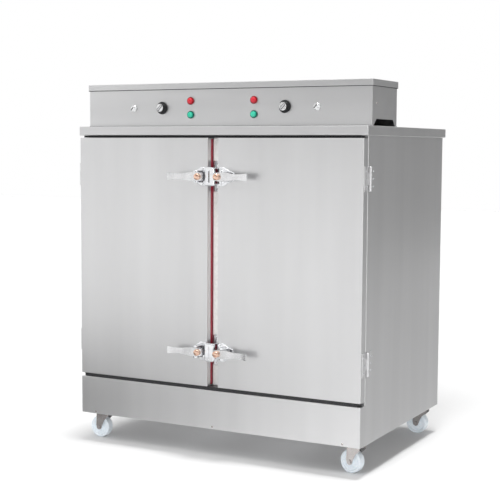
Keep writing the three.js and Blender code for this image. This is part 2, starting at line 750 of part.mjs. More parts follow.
function latchBase() {
  const plate = new THREE.Shape();
  plate.moveTo(21, -29);
  plate.quadraticCurveTo(21, -31, 23, -31);
  plate.lineTo(42, -31);
  plate.quadraticCurveTo(56, -28, 62, -18);
  plate.quadraticCurveTo(68, -14, 76, -13.5);
  plate.quadraticCurveTo(78, -13, 78, -11);
  plate.lineTo(78, 11);
  plate.quadraticCurveTo(78, 13, 76, 13.5);
  plate.quadraticCurveTo(68, 14, 62, 18);
  plate.quadraticCurveTo(56, 28, 42, 31);
  plate.lineTo(23, 31);
  plate.quadraticCurveTo(21, 31, 21, 29);
  const ear = new THREE.Shape();
  ear.moveTo(LATCH_PIN_X - 16, -FIT - LATCH_PLATE / 2);
  ear.lineTo(LATCH_PIN_X - EAR_RADIUS, LATCH_PIN_Y);
  ear.absarc(LATCH_PIN_X, LATCH_PIN_Y, EAR_RADIUS, Math.PI, 2 * Math.PI);
  ear.lineTo(LATCH_PIN_X + 16, -FIT - LATCH_PLATE / 2);
  const ears = [
    [-EAR_GAP - EAR_THICKNESS, -EAR_GAP],
    [EAR_GAP, EAR_GAP + EAR_THICKNESS],
  ].map(([low, high]) => extrude(ear, "z", low, high, { curve: 3 }));
  const pinEnd = EAR_GAP + EAR_THICKNESS;
  return join(
    extrude(plate, "y", -FIT - LATCH_PLATE, -FIT, { bevel: 1, curve: 1 }),
    ...ears,
    rod("z", LATCH_PIN_RADIUS, -pinEnd, pinEnd, [LATCH_PIN_X, LATCH_PIN_Y], 8),
    rod("z", LATCH_PIN_RADIUS + 2, pinEnd - 1, pinEnd + 1.6, [LATCH_PIN_X, LATCH_PIN_Y], 8),
    rod("z", LATCH_PIN_RADIUS + 2, -pinEnd - 1.6, -pinEnd + 1, [LATCH_PIN_X, LATCH_PIN_Y], 8),
  );
}

// The lever is a bar that is curved in plan and waisted from the front, with a hub, nose and cap.
function latchLever() {
  const plan = new THREE.Shape();
  plan.moveTo(24, -22);
  plan.lineTo(52, -20);
  plan.bezierCurveTo(70, -22, 78, -30, 92, -31.5);
  plan.lineTo(126, -33);
  plan.quadraticCurveTo(138, -34, LEVER_TIP, -39);
  plan.lineTo(LEVER_TIP - 1, -44);
  plan.quadraticCurveTo(138, -40, 126, -39);
  plan.lineTo(92, -37.5);
  plan.bezierCurveTo(78, -37, 70, -38, 58, -38);
  plan.lineTo(30, -36);
  plan.quadraticCurveTo(22, -35, 22, -30);
  plan.lineTo(22, -24);
  plan.quadraticCurveTo(22, -22, 24, -22);
  const front = new THREE.Shape();
  front.moveTo(20, -11);
  front.lineTo(40, -LEVER_HALF);
  front.lineTo(62, -LEVER_HALF);
  front.bezierCurveTo(80, -13, 84, -9, 104, -9);
  front.bezierCurveTo(120, -9, 130, -11, LEVER_TIP - 3, -11.5);
  front.quadraticCurveTo(LEVER_TIP + 2, -11.5, LEVER_TIP + 2, -8);
  front.lineTo(LEVER_TIP + 2, 8);
  front.quadraticCurveTo(LEVER_TIP + 2, 11.5, LEVER_TIP - 3, 11.5);
  front.bezierCurveTo(130, 11, 120, 9, 104, 9);
  front.bezierCurveTo(84, 9, 80, 13, 62, LEVER_HALF);
  front.lineTo(40, LEVER_HALF);
  front.lineTo(20, 11);
  const bar = extrude(plan, "z", -LEVER_HALF, LEVER_HALF).intersect(
    extrude(front, "y", -60, 0, { curve: 2 }),
  );
  const hub = rod("z", LEVER_HUB, -LEVER_HALF, LEVER_HALF, [LATCH_PIN_X, LATCH_PIN_Y], 14);
  const bore = rod("z", LATCH_BORE, -LEVER_HALF - 1, LEVER_HALF + 1, [LATCH_PIN_X, LATCH_PIN_Y], 10);
  const cap = turnedForward(
    [
      [0, 30],
      [CAP_RADIUS, 30],
      [CAP_RADIUS, 43],
      [CAP_RADIUS - 3.5, LATCH_PROUD - 1],
      [0, LATCH_PROUD],
    ],
    14,
  ).translate([CAP_X, 0, 0]);
  return join(cut(join(bar, hub), bore), cap);
}

function latchKeeper() {
  const foot = BODY_FRONT - FIT;
  const plate = roundedRectangle(-15, 15, -49, 49, 6);
  const head = roundedRectangle(-17, 17, -30, 30, 7);
  const groove = roundedRectangle(-3, 3, -20, 20, 2.9);
  return cut(
    join(
      extrude(plate, "y", foot - 3.5, foot, { curve: 1 }),
      block([-8, -12, -24], [8, foot - 2, 24]),
      extrude(head, "y", -24, -10, { bevel: 2.5, curve: 1 }),
    ),
    extrude(groove, "y", -26, -20, { curve: 1 }),
  );
}

const shapes = {
  frameLeaf: frameLeaf(),
  doorLeaf: doorLeaf(),
  latchBase: latchBase(),
  latchLever: latchLever(),
  latchKeeper: latchKeeper(),
};

for (const [row, height] of Object.entries(FITTING_ROWS)) {
  for (const { side, group } of HALVES) {
    const hinge = new THREE.Group();
    hinge.position.set(HINGE_X, BODY_FRONT, height);
    group.add(hinge);
    part(`hinge_frame_leaf_${row}_${side}`, shapes.frameLeaf, "steel", hinge);
    part(`hinge_door_leaf_${row}_${side}`, shapes.doorLeaf, "steel", hinge);
    const latch = new THREE.Group();
    latch.position.z = height;
    group.add(latch);
    part(`latch_base_${row}_${side}`, shapes.latchBase, "chrome", latch);
    part(`latch_lever_${row}_${side}`, shapes.latchLever, "chrome", latch);
  }
  part(`latch_keeper_${row}`, shapes.latchKeeper, "chrome").position.z = height;
}

// Control box: four walls with an inward foot flange, and cable slots in both ends
const BOX_FOOT = TOP_FACE + FIT;
const BOX_SIDE = BOX_WIDTH / 2;
const BOX_WALL_TOP = BOX_TOP - SHEET - FIT;
const FOOT_FLANGE = 12;
const SLOT_HEIGHT = 21;
const SLOT_BASE = [67, 252];
const SLOT_HEAD = [94, 231];
const TIMER_SHAFT = 4;
const TIMER_HOLE = 5.2;
const SELECTOR_SHAFT = 4.5;
const SELECTOR_HOLE = 6;
const LAMP_NECK = 7;
const LAMP_HOLE = 8;
const GLAND = [300, 1122];
const GLAND_NECK = 8.3;
const GLAND_BORE = 7;
const GLAND_HOLE = 8.8;
const GLAND_SIDES = 12;
const GLAND_HEXAGON = { radius: 13, end: 5 };
const GLAND_DOME = { radius: 11, end: 14 };
const GLAND_TIP = { radius: 8.8, end: 18 };
const GLAND_REACH = 12;

function controlBoxHousing() {
  const walls = cut(
    extrude(roundedRectangle(-BOX_SIDE, BOX_SIDE, BOX_SETBACK, BOX_REAR, FOLD), "z", BOX_FOOT, BOX_WALL_TOP, {
      curve: 1,
    }),
    block(
      [-BOX_SIDE + SHEET, BOX_SETBACK + SHEET, BOX_FOOT + SHEET],
      [BOX_SIDE - SHEET, BOX_REAR - SHEET, BOX_WALL_TOP + SHEET],
    ),
    block(
      [-BOX_SIDE + FOOT_FLANGE, BOX_SETBACK + FOOT_FLANGE, BOX_FOOT - SHEET],
      [BOX_SIDE - FOOT_FLANGE, BOX_REAR - FOOT_FLANGE, BOX_FOOT + 2 * SHEET],
    ),
  );
  const slot = [
    [SLOT_BASE[0], BOX_FOOT - SHEET],
    [SLOT_BASE[1], BOX_FOOT - SHEET],
    [SLOT_HEAD[1], BOX_FOOT + SLOT_HEIGHT],
    [SLOT_HEAD[0], BOX_FOOT + SLOT_HEIGHT],
  ];
  const hole = (x, rise, radius) =>
    rod("y", radius, PANEL_FACE - SHEET, PANEL_FACE + 2 * SHEET, [x, TOP_FACE + rise], 8);
  const openings = [-1, 1].flatMap((sign) => [
    extrude(slot, "x", sign * BOX_SIDE - FOOT_FLANGE - 1, sign * BOX_SIDE + FOOT_FLANGE + 1),
    hole(sign * TIMER_X, TIMER_RISE, TIMER_HOLE),
    hole(sign * SELECTOR_X, SELECTOR_RISE, SELECTOR_HOLE),
    hole(sign * LAMP_X, RED_LAMP_RISE, LAMP_HOLE),
    hole(sign * LAMP_X, GREEN_LAMP_RISE, LAMP_HOLE),
  ]);
  const glandHole = rod("y", GLAND_HOLE, BOX_REAR - 2 * SHEET, BOX_REAR + SHEET, GLAND, GLAND_SIDES);
  return cut(walls, ...openings, glandHole);
}

function controlBoxLid() {
  const side = BOX_SIDE + BOX_LID_OVERHANG;
  const front = BOX_SETBACK - BOX_LID_OVERHANG;
  const rear = BOX_REAR + BOX_LID_OVERHANG;
  const low = BOX_TOP - BOX_LID_FLANGE;
  const shell = cut(
    extrude(roundedRectangle(-side, side, front, rear, FOLD), "z", low - FOLD, BOX_TOP, {
      bevel: SHEET,
      curve: 1,
    }),
    block([-side - 1, front - 1, low - 2 * FOLD], [side + 1, rear + 1, low]),
  );
  const inside = block(
    [-side + SHEET, front + SHEET, low - SHEET],
    [side - SHEET, rear - SHEET, BOX_TOP - SHEET],
  );
  return cut(shell, inside);
}

part("control_box_housing", controlBoxHousing(), "steel");
part("control_box_lid", controlBoxLid(), "steel");

// Cable gland on the back of the control box: a neck through the wall, a hexagon, a dome nut and its tip
function cableGland() {
  const radial = (radius, from, to, sides) => rod("y", radius, BOX_REAR + from, BOX_REAR + to, GLAND, sides);
  return cut(
    join(
      radial(GLAND_NECK, -GLAND_REACH, 1, GLAND_SIDES),
      radial(GLAND_HEXAGON.radius, FIT, GLAND_HEXAGON.end, 6),
      radial(GLAND_DOME.radius, GLAND_HEXAGON.end - 1, GLAND_DOME.end, GLAND_SIDES),
      radial(GLAND_TIP.radius, GLAND_DOME.end - 1, GLAND_TIP.end, GLAND_SIDES),
    ),
    radial(GLAND_BORE, -GLAND_REACH - 1, GLAND_TIP.end + 1, GLAND_SIDES),
  );
}

part("cable_gland", cableGland(), "black");

// Controls, made about the point where their axis meets the panel

function timerKnob() {
  const body = turnedForward(
    [
      [0, -14],
      [TIMER_SHAFT, -14],
      [TIMER_SHAFT, 1],
      [20.5, 1],
      [20.5, 3.6],
      [18.6, 5.2],
      [15.4, 6.2],
      [14, 17.6],
      [0, 17.6],
    ],
    20,
  );
  const grip = extrude(roundedRectangle(-11.5, 11.5, -2.4, 2.4, 2.3), "y", -20, -17, { curve: 1 });
  return join(body, grip.rotate([0, -45, 0]));
}

function selectorKnob() {
  const body = turnedForward(
    [
      [0, -12],
      [SELECTOR_SHAFT, -12],
      [SELECTOR_SHAFT, 0.8],
      [11.5, 0.8],
      [11.5, 4],
      [10, 6],
      [0, 6],
    ],
    16,
  );
  const wing = extrude(roundedRectangle(-9.5, 9.5, -3, 3, 2), "y", -14, -5, { bevel: 0.8, curve: 1 });
  return join(body, wing.rotate([0, -45, 0]));
}

function lamp() {
  return turnedForward(
    [
      [0, -12],
      [LAMP_NECK, -12],
      [LAMP_NECK, 0.5],
      [11, 0.5],
      [11, 3],
      [10, 4],
      [9.4, 7.5],
      [6.4, 10.4],
      [0, 11.6],
    ],
    12,
  );
}

function control(name, shape, material, parent, x, rise) {
  part(name, shape, material, parent).position.set(x, PANEL_FACE, TOP_FACE + rise);
}

const knobShape = timerKnob();
const selectorShape = selectorKnob();
const lampShape = lamp();
for (const [side, sign] of [
  ["left", -1],
  ["right", 1],
]) {
  control(`timer_knob_${side}`, knobShape, "black", cabinet, sign * TIMER_X, TIMER_RISE);
  control(`selector_knob_${side}`, selectorShape, "chrome", cabinet, sign * SELECTOR_X, SELECTOR_RISE);
  control(`lamp_red_${side}`, lampShape, "red", cabinet, sign * LAMP_X, RED_LAMP_RISE);
  control(`lamp_green_${side}`, lampShape, "green", cabinet, sign * LAMP_X, GREEN_LAMP_RISE);
}

// Casters, made about their swivel axis, with the wheel trailing to the left
const WHEEL_RADIUS = 37.5;
const FORK_INNER = 16.6;
const FORK_OUTER = 19.2;
const BRIDGE_LOW = 84;
const BRIDGE_TOP = 87;
const CUP_TOP = 90;
const PLATE_LOW = 96.2;
const PLATE_TOP = CASTER_HEIGHT;
const AXLE_RADIUS = 4;
const AXLE_BORE = 4.7;

function casterPlate() {
  const bolts = [
    [-21, -32],
    [21, -32],
    [21, 32],
    [-21, 32],
  ].map((at) => rod("z", 6, PLATE_LOW - 4, PLATE_LOW + 1, at, 6));
  return join(
    extrude(roundedRectangle(-30, 30, -42, 42, 7), "z", PLATE_LOW, PLATE_TOP, { curve: 1 }),
    ...bolts,
    rod("z", 20, CUP_TOP + 0.4, PLATE_LOW + 1, [0, 0], 12),
    rod("z", 5, BRIDGE_LOW - 2, CUP_TOP + 1, [0, 0], 8),
    rod("z", 8.5, BRIDGE_LOW - 5, BRIDGE_LOW - 0.6, [0, 0], 6),
  );
}

function casterFork() {
  const leg = new THREE.Shape();
  leg.moveTo(-25, BRIDGE_TOP);
  leg.lineTo(-27.5, WHEEL_RADIUS + 5);
  leg.absarc(-CASTER_TRAIL, WHEEL_RADIUS, 11, Math.PI * 0.92, Math.PI * 2.05);
  leg.quadraticCurveTo(2, 66, 21, 77);
  leg.lineTo(21, BRIDGE_TOP);
  const legs = [
    [-FORK_OUTER, -FORK_INNER],
    [FORK_INNER, FORK_OUTER],
  ].map(([from, to]) => extrude(leg, "y", from, to));
  const axleAt = [-CASTER_TRAIL, WHEEL_RADIUS];
  const headEnd = FORK_OUTER + 4;
  return cut(
    join(
      block([-25, -FORK_OUTER, BRIDGE_LOW], [21, FORK_OUTER, BRIDGE_TOP]),
      ...legs,
      rod("z", 22, BRIDGE_TOP - 1, CUP_TOP, [0, 0], 12),
      rod("y", AXLE_RADIUS, -headEnd, headEnd, axleAt, 8),
      rod("y", 7, -headEnd, -FORK_OUTER + 0.5, axleAt, 6),
      rod("y", 7, FORK_OUTER - 0.5, headEnd, axleAt, 6),
    ),
    rod("z", 5.8, BRIDGE_LOW - 1, CUP_TOP + 1, [0, 0], 8),
  );
}

function casterWheel() {
  const half = [
    [AXLE_BORE, 15.4],
    [11.5, 15.4],
    [12.5, 9.5],
    [28, 9.5],
    [30, 13.6],
    [WHEEL_RADIUS, 11],
  ];
  const profile = [...half, ...half.map(([r, y]) => [r, -y]).reverse(), half[0]];
  const geometry = new THREE.LatheGeometry(profile.map((p) => new THREE.Vector2(...p)), 16);
  geometry.translate(-CASTER_TRAIL, 0, WHEEL_RADIUS);
  return solid(geometry);
}

const casterShapes = { plate: casterPlate(), fork: casterFork(), wheel: casterWheel() };
for (const [end, y] of [
  ["front", CASTER_FRONT],
  ["rear", CASTER_REAR],
]) {
  for (const [side, sign] of [
    ["left", -1],
    ["right", 1],
  ]) {
    const fixed = new THREE.Group();
    fixed.position.set(sign * CASTER_X, y, 0);
    cabinet.add(fixed);
    const swivel = new THREE.Group();
    if (end === "front" && side === "right") {
      swivel.rotation.z = THREE.MathUtils.degToRad(-FRONT_RIGHT_TWIST);
    }
    fixed.add(swivel);
    part(`caster_plate_${end}_${side}`, casterShapes.plate, "zinc", fixed);
    part(`caster_fork_${end}_${side}`, casterShapes.fork, "zinc", swivel);
    part(`caster_wheel_${end}_${side}`, casterShapes.wheel, "nylon", swivel);
  }
}

export default root;
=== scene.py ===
"""Looks of a bun steamer cabinet: fine surfaces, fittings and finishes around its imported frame."""

import json
import math

import bmesh
import bpy
from mathutils import Matrix, Vector

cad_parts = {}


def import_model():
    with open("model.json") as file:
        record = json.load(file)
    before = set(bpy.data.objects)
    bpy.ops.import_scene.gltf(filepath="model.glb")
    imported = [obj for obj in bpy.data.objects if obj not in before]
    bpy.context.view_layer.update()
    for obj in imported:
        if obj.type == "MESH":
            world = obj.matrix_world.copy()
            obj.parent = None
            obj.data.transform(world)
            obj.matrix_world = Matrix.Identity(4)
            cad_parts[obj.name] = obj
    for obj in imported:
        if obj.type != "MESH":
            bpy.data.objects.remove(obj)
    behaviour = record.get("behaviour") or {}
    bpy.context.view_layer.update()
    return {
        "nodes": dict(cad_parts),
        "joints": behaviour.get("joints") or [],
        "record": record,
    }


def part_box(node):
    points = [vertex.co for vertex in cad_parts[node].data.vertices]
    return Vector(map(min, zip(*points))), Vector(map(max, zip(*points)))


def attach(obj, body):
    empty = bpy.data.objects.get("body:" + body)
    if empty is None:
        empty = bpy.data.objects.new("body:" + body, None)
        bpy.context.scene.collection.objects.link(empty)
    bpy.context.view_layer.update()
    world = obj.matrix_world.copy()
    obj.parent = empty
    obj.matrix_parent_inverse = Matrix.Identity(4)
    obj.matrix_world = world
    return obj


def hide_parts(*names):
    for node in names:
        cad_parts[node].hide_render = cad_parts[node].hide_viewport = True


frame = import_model()

RECORD = frame["record"]
BODY_OF = {node: body for body, nodes in RECORD["behaviour"]["bodies"].items() for node in nodes}
SLOT_OF = {entry["node"]: entry["material_slot"] for entry in RECORD["subparts"]}
JOINT_OF = {joint["child"]: joint for joint in frame["joints"]}
CABINET = "cabinet"
SIDES = {"left": -1, "right": 1}
ROWS = ("upper", "lower")
ENDS = ("front", "rear")
FORWARD = Vector((0, -1, 0))
BACKWARD = Vector((0, 1, 0))

# Camera, solved from the photograph's perspective
CAMERA_PLACE = (1.865, -3.588, 1.0165)
CAMERA_AZIMUTH = 28.01
CAMERA_PITCH = 5.02
CAMERA_ROLL = 0.31
FOCAL_PIXELS = 1168
PICTURE_PIXELS = 500
SENSOR_MM = 36

# How far edges are rounded. Lengths are in metres, and angles in degrees unless it says otherwise
SHEET_EDGE = 0.0006
FOLD_EDGE = 0.0016
CAST_EDGE = 0.0012
POINTER_EDGE = 0.0005
STRIP_EDGE = 0.0004
LID_SHADE_EDGE = 0.0003
FINE_EDGE = 0.0002
EDGE_STEPS = 2
EDGE_ANGLE = 32
SMOOTH_ANGLE = 30
FLAT_ANGLE = 1
SAME_PLACE = 1e-6
FACE_WEIGHT = 100

# Turned shapes, as pairs of radius and height above the panel, or distance from a wheel's middle
TIMER_BODY = [
    (0, -0.014), (0.004, -0.014), (0.004, 0.0009), (0.0198, 0.0009), (0.0205, 0.0016),
    (0.0205, 0.003), (0.0196, 0.0042), (0.0158, 0.006), (0.0153, 0.0066), (0.0149, 0.01),
    (0.0145, 0.014), (0.0142, 0.0164), (0.0136, 0.0173), (0.0128, 0.0176), (0, 0.0176),
]
TIMER_CAP = [
    (0, 0.017), (0.0126, 0.017), (0.0128, 0.0179), (0.0122, 0.0184),
    (0.0104, 0.0184), (0.0101, 0.0181), (0.0098, 0.0184), (0, 0.0184),
]
SELECTOR_DISC = [
    (0, -0.012), (0.0045, -0.012), (0.0045, 0.0008), (0.011, 0.0008), (0.0115, 0.0014),
    (0.0115, 0.0036), (0.0108, 0.005), (0.0098, 0.006), (0, 0.0062),
]
LAMP_LENS = [
    (0, -0.012), (0.007, -0.012), (0.007, 0.0025), (0.0096, 0.0028), (0.0096, 0.0058),
    (0.009, 0.0082), (0.0074, 0.01), (0.0046, 0.0111), (0, 0.0114),
]
LAMP_BEZEL = [
    (0.0072, 0.0003), (0.0122, 0.0003), (0.0126, 0.0008), (0.0126, 0.0034), (0.012, 0.0044),
    (0.0104, 0.0046), (0.0098, 0.004), (0.0098, 0.0022), (0.0072, 0.0022), (0.0072, 0.0003),
]
WHEEL_HUB = [(0.0047, 0.0154), (0.0108, 0.0154), (0.0114, 0.0149), (0.0124, 0.0104), (0.0132, 0.0097)]
WHEEL_RIM = [
    (0.0262, 0.0097), (0.0278, 0.0102), (0.0296, 0.0129), (0.0308, 0.0136), (0.0352, 0.0132),
    (0.0368, 0.0121), (0.0374, 0.0095), (0.0375, 0.005),
]
BEARING = [
    (0.0048, 0.0148), (0.0048, 0.0159), (0.0062, 0.0159), (0.0066, 0.0156), (0.0078, 0.0156),
    (0.0082, 0.0159), (0.0094, 0.0159), (0.0094, 0.0148), (0.0048, 0.0148),
]

# Ring ridges on a wheel's web: where they start, and their heights and widths
RIDGE_STARTS = (0.0162, 0.0216)
RIDGE_FOOT = 0.0097
RIDGE_TOP = 0.0109
RIDGE_SLOPE = 0.0006
RIDGE_WIDTH = 0.0026

# Grooves round a turned shape: count, depth, and the heights between which they run
NO_FLUTES = (0, 0, 0, 0)
TIMER_FLUTES = (24, 0.0005, 0.0064, 0.0166)
LENS_FLUTES = (12, 0.0005, 0.0036, 0.0095)

# Bars across the knobs: length, width, and their lowest and highest point
TIMER_INLAY = (0.0246, 0.0082, 0.0178, 0.0186)
TIMER_POINTER = (0.0225, 0.0046, 0.018, 0.02)
SELECTOR_WING = (0.019, 0.006, 0.0055, 0.014)
SELECTOR_LINE = (0.0155, 0.0026, 0.0136, 0.0143)
BAR_ANGLE = 45
BAR_END_STEPS = 8

# How many sides the turned pieces have
SCREW_SIDES = 24
SMALL_SIDES = 48
CAP_SIDES = 64
WHEEL_SIDES = 72
FLUTED_SIDES = 96

# Latch caps: a smooth domed nut over the lever's nose, measured from the doors' face
LATCH_CAP_RADIUS = 0.0107
LATCH_CAP_X = 0.035
LATCH_CAP_FOOT = 0.0345
LATCH_CAP_SHOULDER = 0.0432
LATCH_CAP_TOP = 0.048
LATCH_CAP_STEPS = 7
LATCH_CAP_FULLNESS = 0.7

# Dark strips above and below the doors: painted shade in the gaps there
STRIP_GAP = 0.0008
STRIP_LIP = 0.0012
STRIP_STEP = 1.2
HEAD_STRIP_SETBACK = 0.006
FOOT_STRIP_SETBACK = 0.003

# Trim on the mullion
TRIM_HALF = 0.017
TRIM_THICKNESS = 0.0008
TRIM_ROLL = 0.0012
TRIM_RISE = 0.0003
TRIM_GAP = 0.001

# Dark strip under the control box's lid, painted shade for the shadow under its rim; and sealant
# along the box's foot
LID_SHADE_HEIGHT = 0.0018
LID_SHADE_INSET = 0.0006
BEAD_HEIGHT = 0.0022
BEAD_REACH = 0.0014
BEAD_SHOULDER = (0.7, 0.6)

# Screw heads. Rim and cross are shares of the height and radius, and the turns are in radians
SCREW_RADIUS = 0.0036
SCREW_HEIGHT = 0.0018
SCREW_RIM = 0.35
SCREW_STEPS = 6
CROSS_ARM = 0.6
CROSS_WIDTH = 0.16
CROSS_FLOOR = 0.45
FIRST_TURN = 0.6
NEXT_TURN = 1.1
KEEPER_SCREW = 0.8
LATCH_SCREW = 0.9
LEAF_SCREW = 0.85

# Places of the screws
SKIRT_SCREW_X = (-0.461, 0, 0.461)
SKIRT_SCREW_RISE = 0.008
KEEPER_FLANGE = 0.0035
KEEPER_SCREW_RISE = 0.041
LATCH_PLATE = 0.0043
LATCH_SCREW_X = 0.034
LATCH_SCREW_RISE = 0.0245
LEAF_INSET = 0.0027
LEAF_SCREW_Y = {"frame": 0.0335, "door": -0.0245}
LEAF_SCREW_RISES = (-0.023, 0, 0.023)
BOX_END_SCREW_Y = 0.037
BOX_END_SCREW_RISE = 0.069
BACK_SCREW_INSET = 0.012
BACK_SCREW_LOW = 0.02
BACK_SCREW_HIGH = 0.06
BOX_REAR_SCREW_INSET = 0.03
BOX_REAR_SCREW_RISE = 0.09

# Noise in the finishes. The grains are per metre, of brushed lines up the sheet or along its width
FINE_DETAIL = 3.0
SOFT_DETAIL = 2.0
NOISE_ROUGHNESS = 0.6
NOISE_START = 0.3
NOISE_END = 0.7
TINT_START = 0.35
TINT_END = 0.65
BUMP_DEPTH = 0.0002
BRUSH_BUMP = 0.06
CAST_BUMP = 0.05
MOULD_BUMP = 0.04
GRAIN_UP = (1800, 1800, 12)
GRAIN_ACROSS = (12, 1800, 1800)
SHEET_ROUGHNESS = (0.3, 0.42)
PLAIN_SHEET_ROUGHNESS = 0.35
MOULD_VARIATION = (0.85, 1.2)
DULL = {"Specular_IOR_Level": 0.2}

# Floor and light from all sides
FLOOR_SIZE = 30
FLOOR_COLOR = (0.82, 0.82, 0.82)
FLOOR_ROUGHNESS = 0.9
FLOOR_LIFT = 0.04
SKY_LIGHT = 0.36
WHITE = (1, 1, 1, 1)
CABINET_MIDDLE = (0, 0, 0.6)


# Geometry


def new_object(name, mesh_data):
    """Puts a mesh in the scene, smooth except where it turns by more than the smooth angle."""
    piece = bpy.data.objects.new(name, mesh_data)
    bpy.context.scene.collection.objects.link(piece)
    mesh_data.polygons.foreach_set("use_smooth", [True] * len(mesh_data.polygons))
    mesh_data.set_sharp_from_angle(angle=math.radians(SMOOTH_ANGLE))
    return piece


def from_bmesh(name, mesh):
    """Puts an edited mesh in the scene."""
    data = bpy.data.meshes.new(name)
    mesh.to_mesh(data)
    mesh.free()
    return new_object(name, data)


def soften(piece, width):
    """Rounds a piece's sharp edges and keeps its large faces flat."""
    bevel = piece.modifiers.new("soft_edges", "BEVEL")
    bevel.width = width
    bevel.segments = EDGE_STEPS
    bevel.limit_method = "ANGLE"
    bevel.angle_limit = math.radians(EDGE_ANGLE)
    flat = piece.modifiers.new("flat_faces", "WEIGHTED_NORMAL")
    flat.mode = "FACE_AREA"
    flat.weight = FACE_WEIGHT
    flat.keep_sharp = True
    return piece


def finish_piece(piece, material, body):
    """Gives a piece its material, and the body of the record that it belongs to."""
    piece.data.materials.clear()
    piece.data.materials.append(material)
    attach(piece, body)
    return piece


def fine_copy(node, material, width):
    """A CAD node's own shape, with its flat faces whole again and its edges softly rounded."""
    mesh = bmesh.new()
    mesh.from_mesh(frame["nodes"][node].data)
    bmesh.ops.remove_doubles(mesh, verts=mesh.verts, dist=SAME_PLACE)
    bmesh.ops.dissolve_limit(
        mesh, angle_limit=math.radians(FLAT_ANGLE), verts=mesh.verts, edges=mesh.edges
    )
    piece = soften(from_bmesh(node + "_surface", mesh), width)
    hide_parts(node)
    return finish_piece(piece, material, BODY_OF[node])


def facing(origin, axis):
    """The matrix that stands a piece, made along +Z from the origin, at a place and along an axis."""
    turn = Vector((0, 0, 1)).rotation_difference(Vector(axis)).to_matrix().to_4x4()
    return Matrix.Translation(Vector(origin)) @ turn


def upright_facing(origin):
    """Like facing, for a piece that looks forward: its X stays to the right and its Y points up."""
    turn = Matrix(((1, 0, 0, 0), (0, 0, -1, 0), (0, 1, 0, 0), (0, 0, 0, 1)))
    return Matrix.Translation(Vector(origin)) @ turn


def turned_bmesh(profile, sides, flutes=NO_FLUTES):
    """A surface of revolution about Z. Profile pairs are radius and height, from end to end."""
    count, depth, bottom, top = flutes
    mesh = bmesh.new()
    rings = []
    for radius, height in profile:
        if radius == 0:
            rings.append([mesh.verts.new((0, 0, height))])
            continue
        groove = depth if bottom <= height <= top else 0
        ring = []
        for i in range(sides):
            angle = 2 * math.pi * i / sides
            reach = radius - groove * (1 - math.cos(count * angle)) / 2
            ring.append(mesh.verts.new((reach * math.cos(angle), reach * math.sin(angle), height)))
        rings.append(ring)
    for low, high in zip(rings, rings[1:]):
        for i in range(sides):
            j = (i + 1) % sides
            corners = [low[i % len(low)], low[j % len(low)], high[j % len(high)], high[i % len(high)]]
            unique = list(dict.fromkeys(corners))
            if len(unique) > 2:
                mesh.faces.new(unique)
    bmesh.ops.recalc_face_normals(mesh, faces=mesh.faces)
    return mesh


def turned(name, profile, origin, axis, sides, flutes=NO_FLUTES):
    """A turned piece that stands at a place and along an axis."""
    mesh = turned_bmesh(profile, sides, flutes)
    mesh.transform(facing(origin, axis))
    return from_bmesh(name, mesh)


def dome(radius, low, high, steps, fullness=1):
    """Profile pairs of a dome, from above its rim to its top. A fullness below 1 is squarer."""
    points = []
    for step in range(1, steps):
        angle = math.pi / 2 * step / steps
        points.append((radius * math.cos(angle) ** fullness, low + (high - low) * math.sin(angle)))
    return points + [(0, high)]


def extrusion(name, outline, low, high, axis):
    """A bar of one cross-section. The outline's pairs are Y and Z along X, or X and Y along Z."""
    mesh = bmesh.new()
    ends = []
    for reach in (low, high):
        corners = [(reach, u, v) if axis == "X" else (u, v, reach) for u, v in outline]
        ends.append([mesh.verts.new(corner) for corner in corners])
    for i in range(len(outline)):
        j = (i + 1) % len(outline)
        mesh.faces.new((ends[0][i], ends[0][j], ends[1][j], ends[1][i]))
    for end in ends:
        mesh.faces.new(end)
    bmesh.ops.recalc_face_normals(mesh, faces=mesh.faces)
    return from_bmesh(name, mesh)


def raised(outline, low, high):
    """A flat outline, raised from one height to another."""
    mesh = bmesh.new()
    face = mesh.faces.new([mesh.verts.new((x, y, low)) for x, y in outline])
    grown = bmesh.ops.extrude_face_region(mesh, geom=[face])["geom"]
    moved = [item for item in grown if isinstance(item, bmesh.types.BMVert)]
    bmesh.ops.translate(mesh, vec=(0, 0, high - low), verts=moved)
    bmesh.ops.recalc_face_normals(mesh, faces=mesh.faces)
    return mesh


def pointer_bar(name, origin, length, width, low, high):
    """A bar with round ends that lies across a knob's face at an angle."""
    outline = []
    for end, start in ((1, 0), (-1, math.pi)):
        for step in range(BAR_END_STEPS + 1):
            turn = math.pi * (step / BAR_END_STEPS - 0.5) + start
            x = end * (length - width) / 2 + width / 2 * math.cos(turn)
            outline.append((x, width / 2 * math.sin(turn)))
    mesh = raised(outline, low, high)
    mesh.transform(Matrix.Rotation(math.radians(BAR_ANGLE), 4, "Z"))
    mesh.transform(upright_facing(origin))
    return soften(from_bmesh(name, mesh), POINTER_EDGE)


def screw_template():
    """A pan head with a cross recess, standing on the plane Z = 0."""
    rim = SCREW_HEIGHT * SCREW_RIM
    profile = [(0, 0), (SCREW_RADIUS, 0), (SCREW_RADIUS, rim)]
    profile += dome(SCREW_RADIUS, rim, SCREW_HEIGHT, SCREW_STEPS)
    head = from_bmesh("screw_head", turned_bmesh(profile, SCREW_SIDES))
    arm = SCREW_RADIUS * CROSS_ARM
    width = SCREW_RADIUS * CROSS_WIDTH
    floor_height = SCREW_HEIGHT * CROSS_FLOOR
    outline = []
    for quarter in range(4):
        spin = Matrix.Rotation(quarter * math.pi / 2, 2)
        outline += [spin @ Vector(corner) for corner in ((arm, width), (width, width), (width, arm))]
    cutter = from_bmesh("screw_cross", raised(outline, floor_height, floor_height + SCREW_HEIGHT))
    recess = head.modifiers.new("recess", "BOOLEAN")
    recess.object = cutter
    recess.solver = "EXACT"
    seen = head.evaluated_get(bpy.context.evaluated_depsgraph_get())
    data = bpy.data.meshes.new_from_object(seen)
    for leftover in (head, cutter):
        bpy.data.objects.remove(leftover)
    return data


SCREW = screw_template()


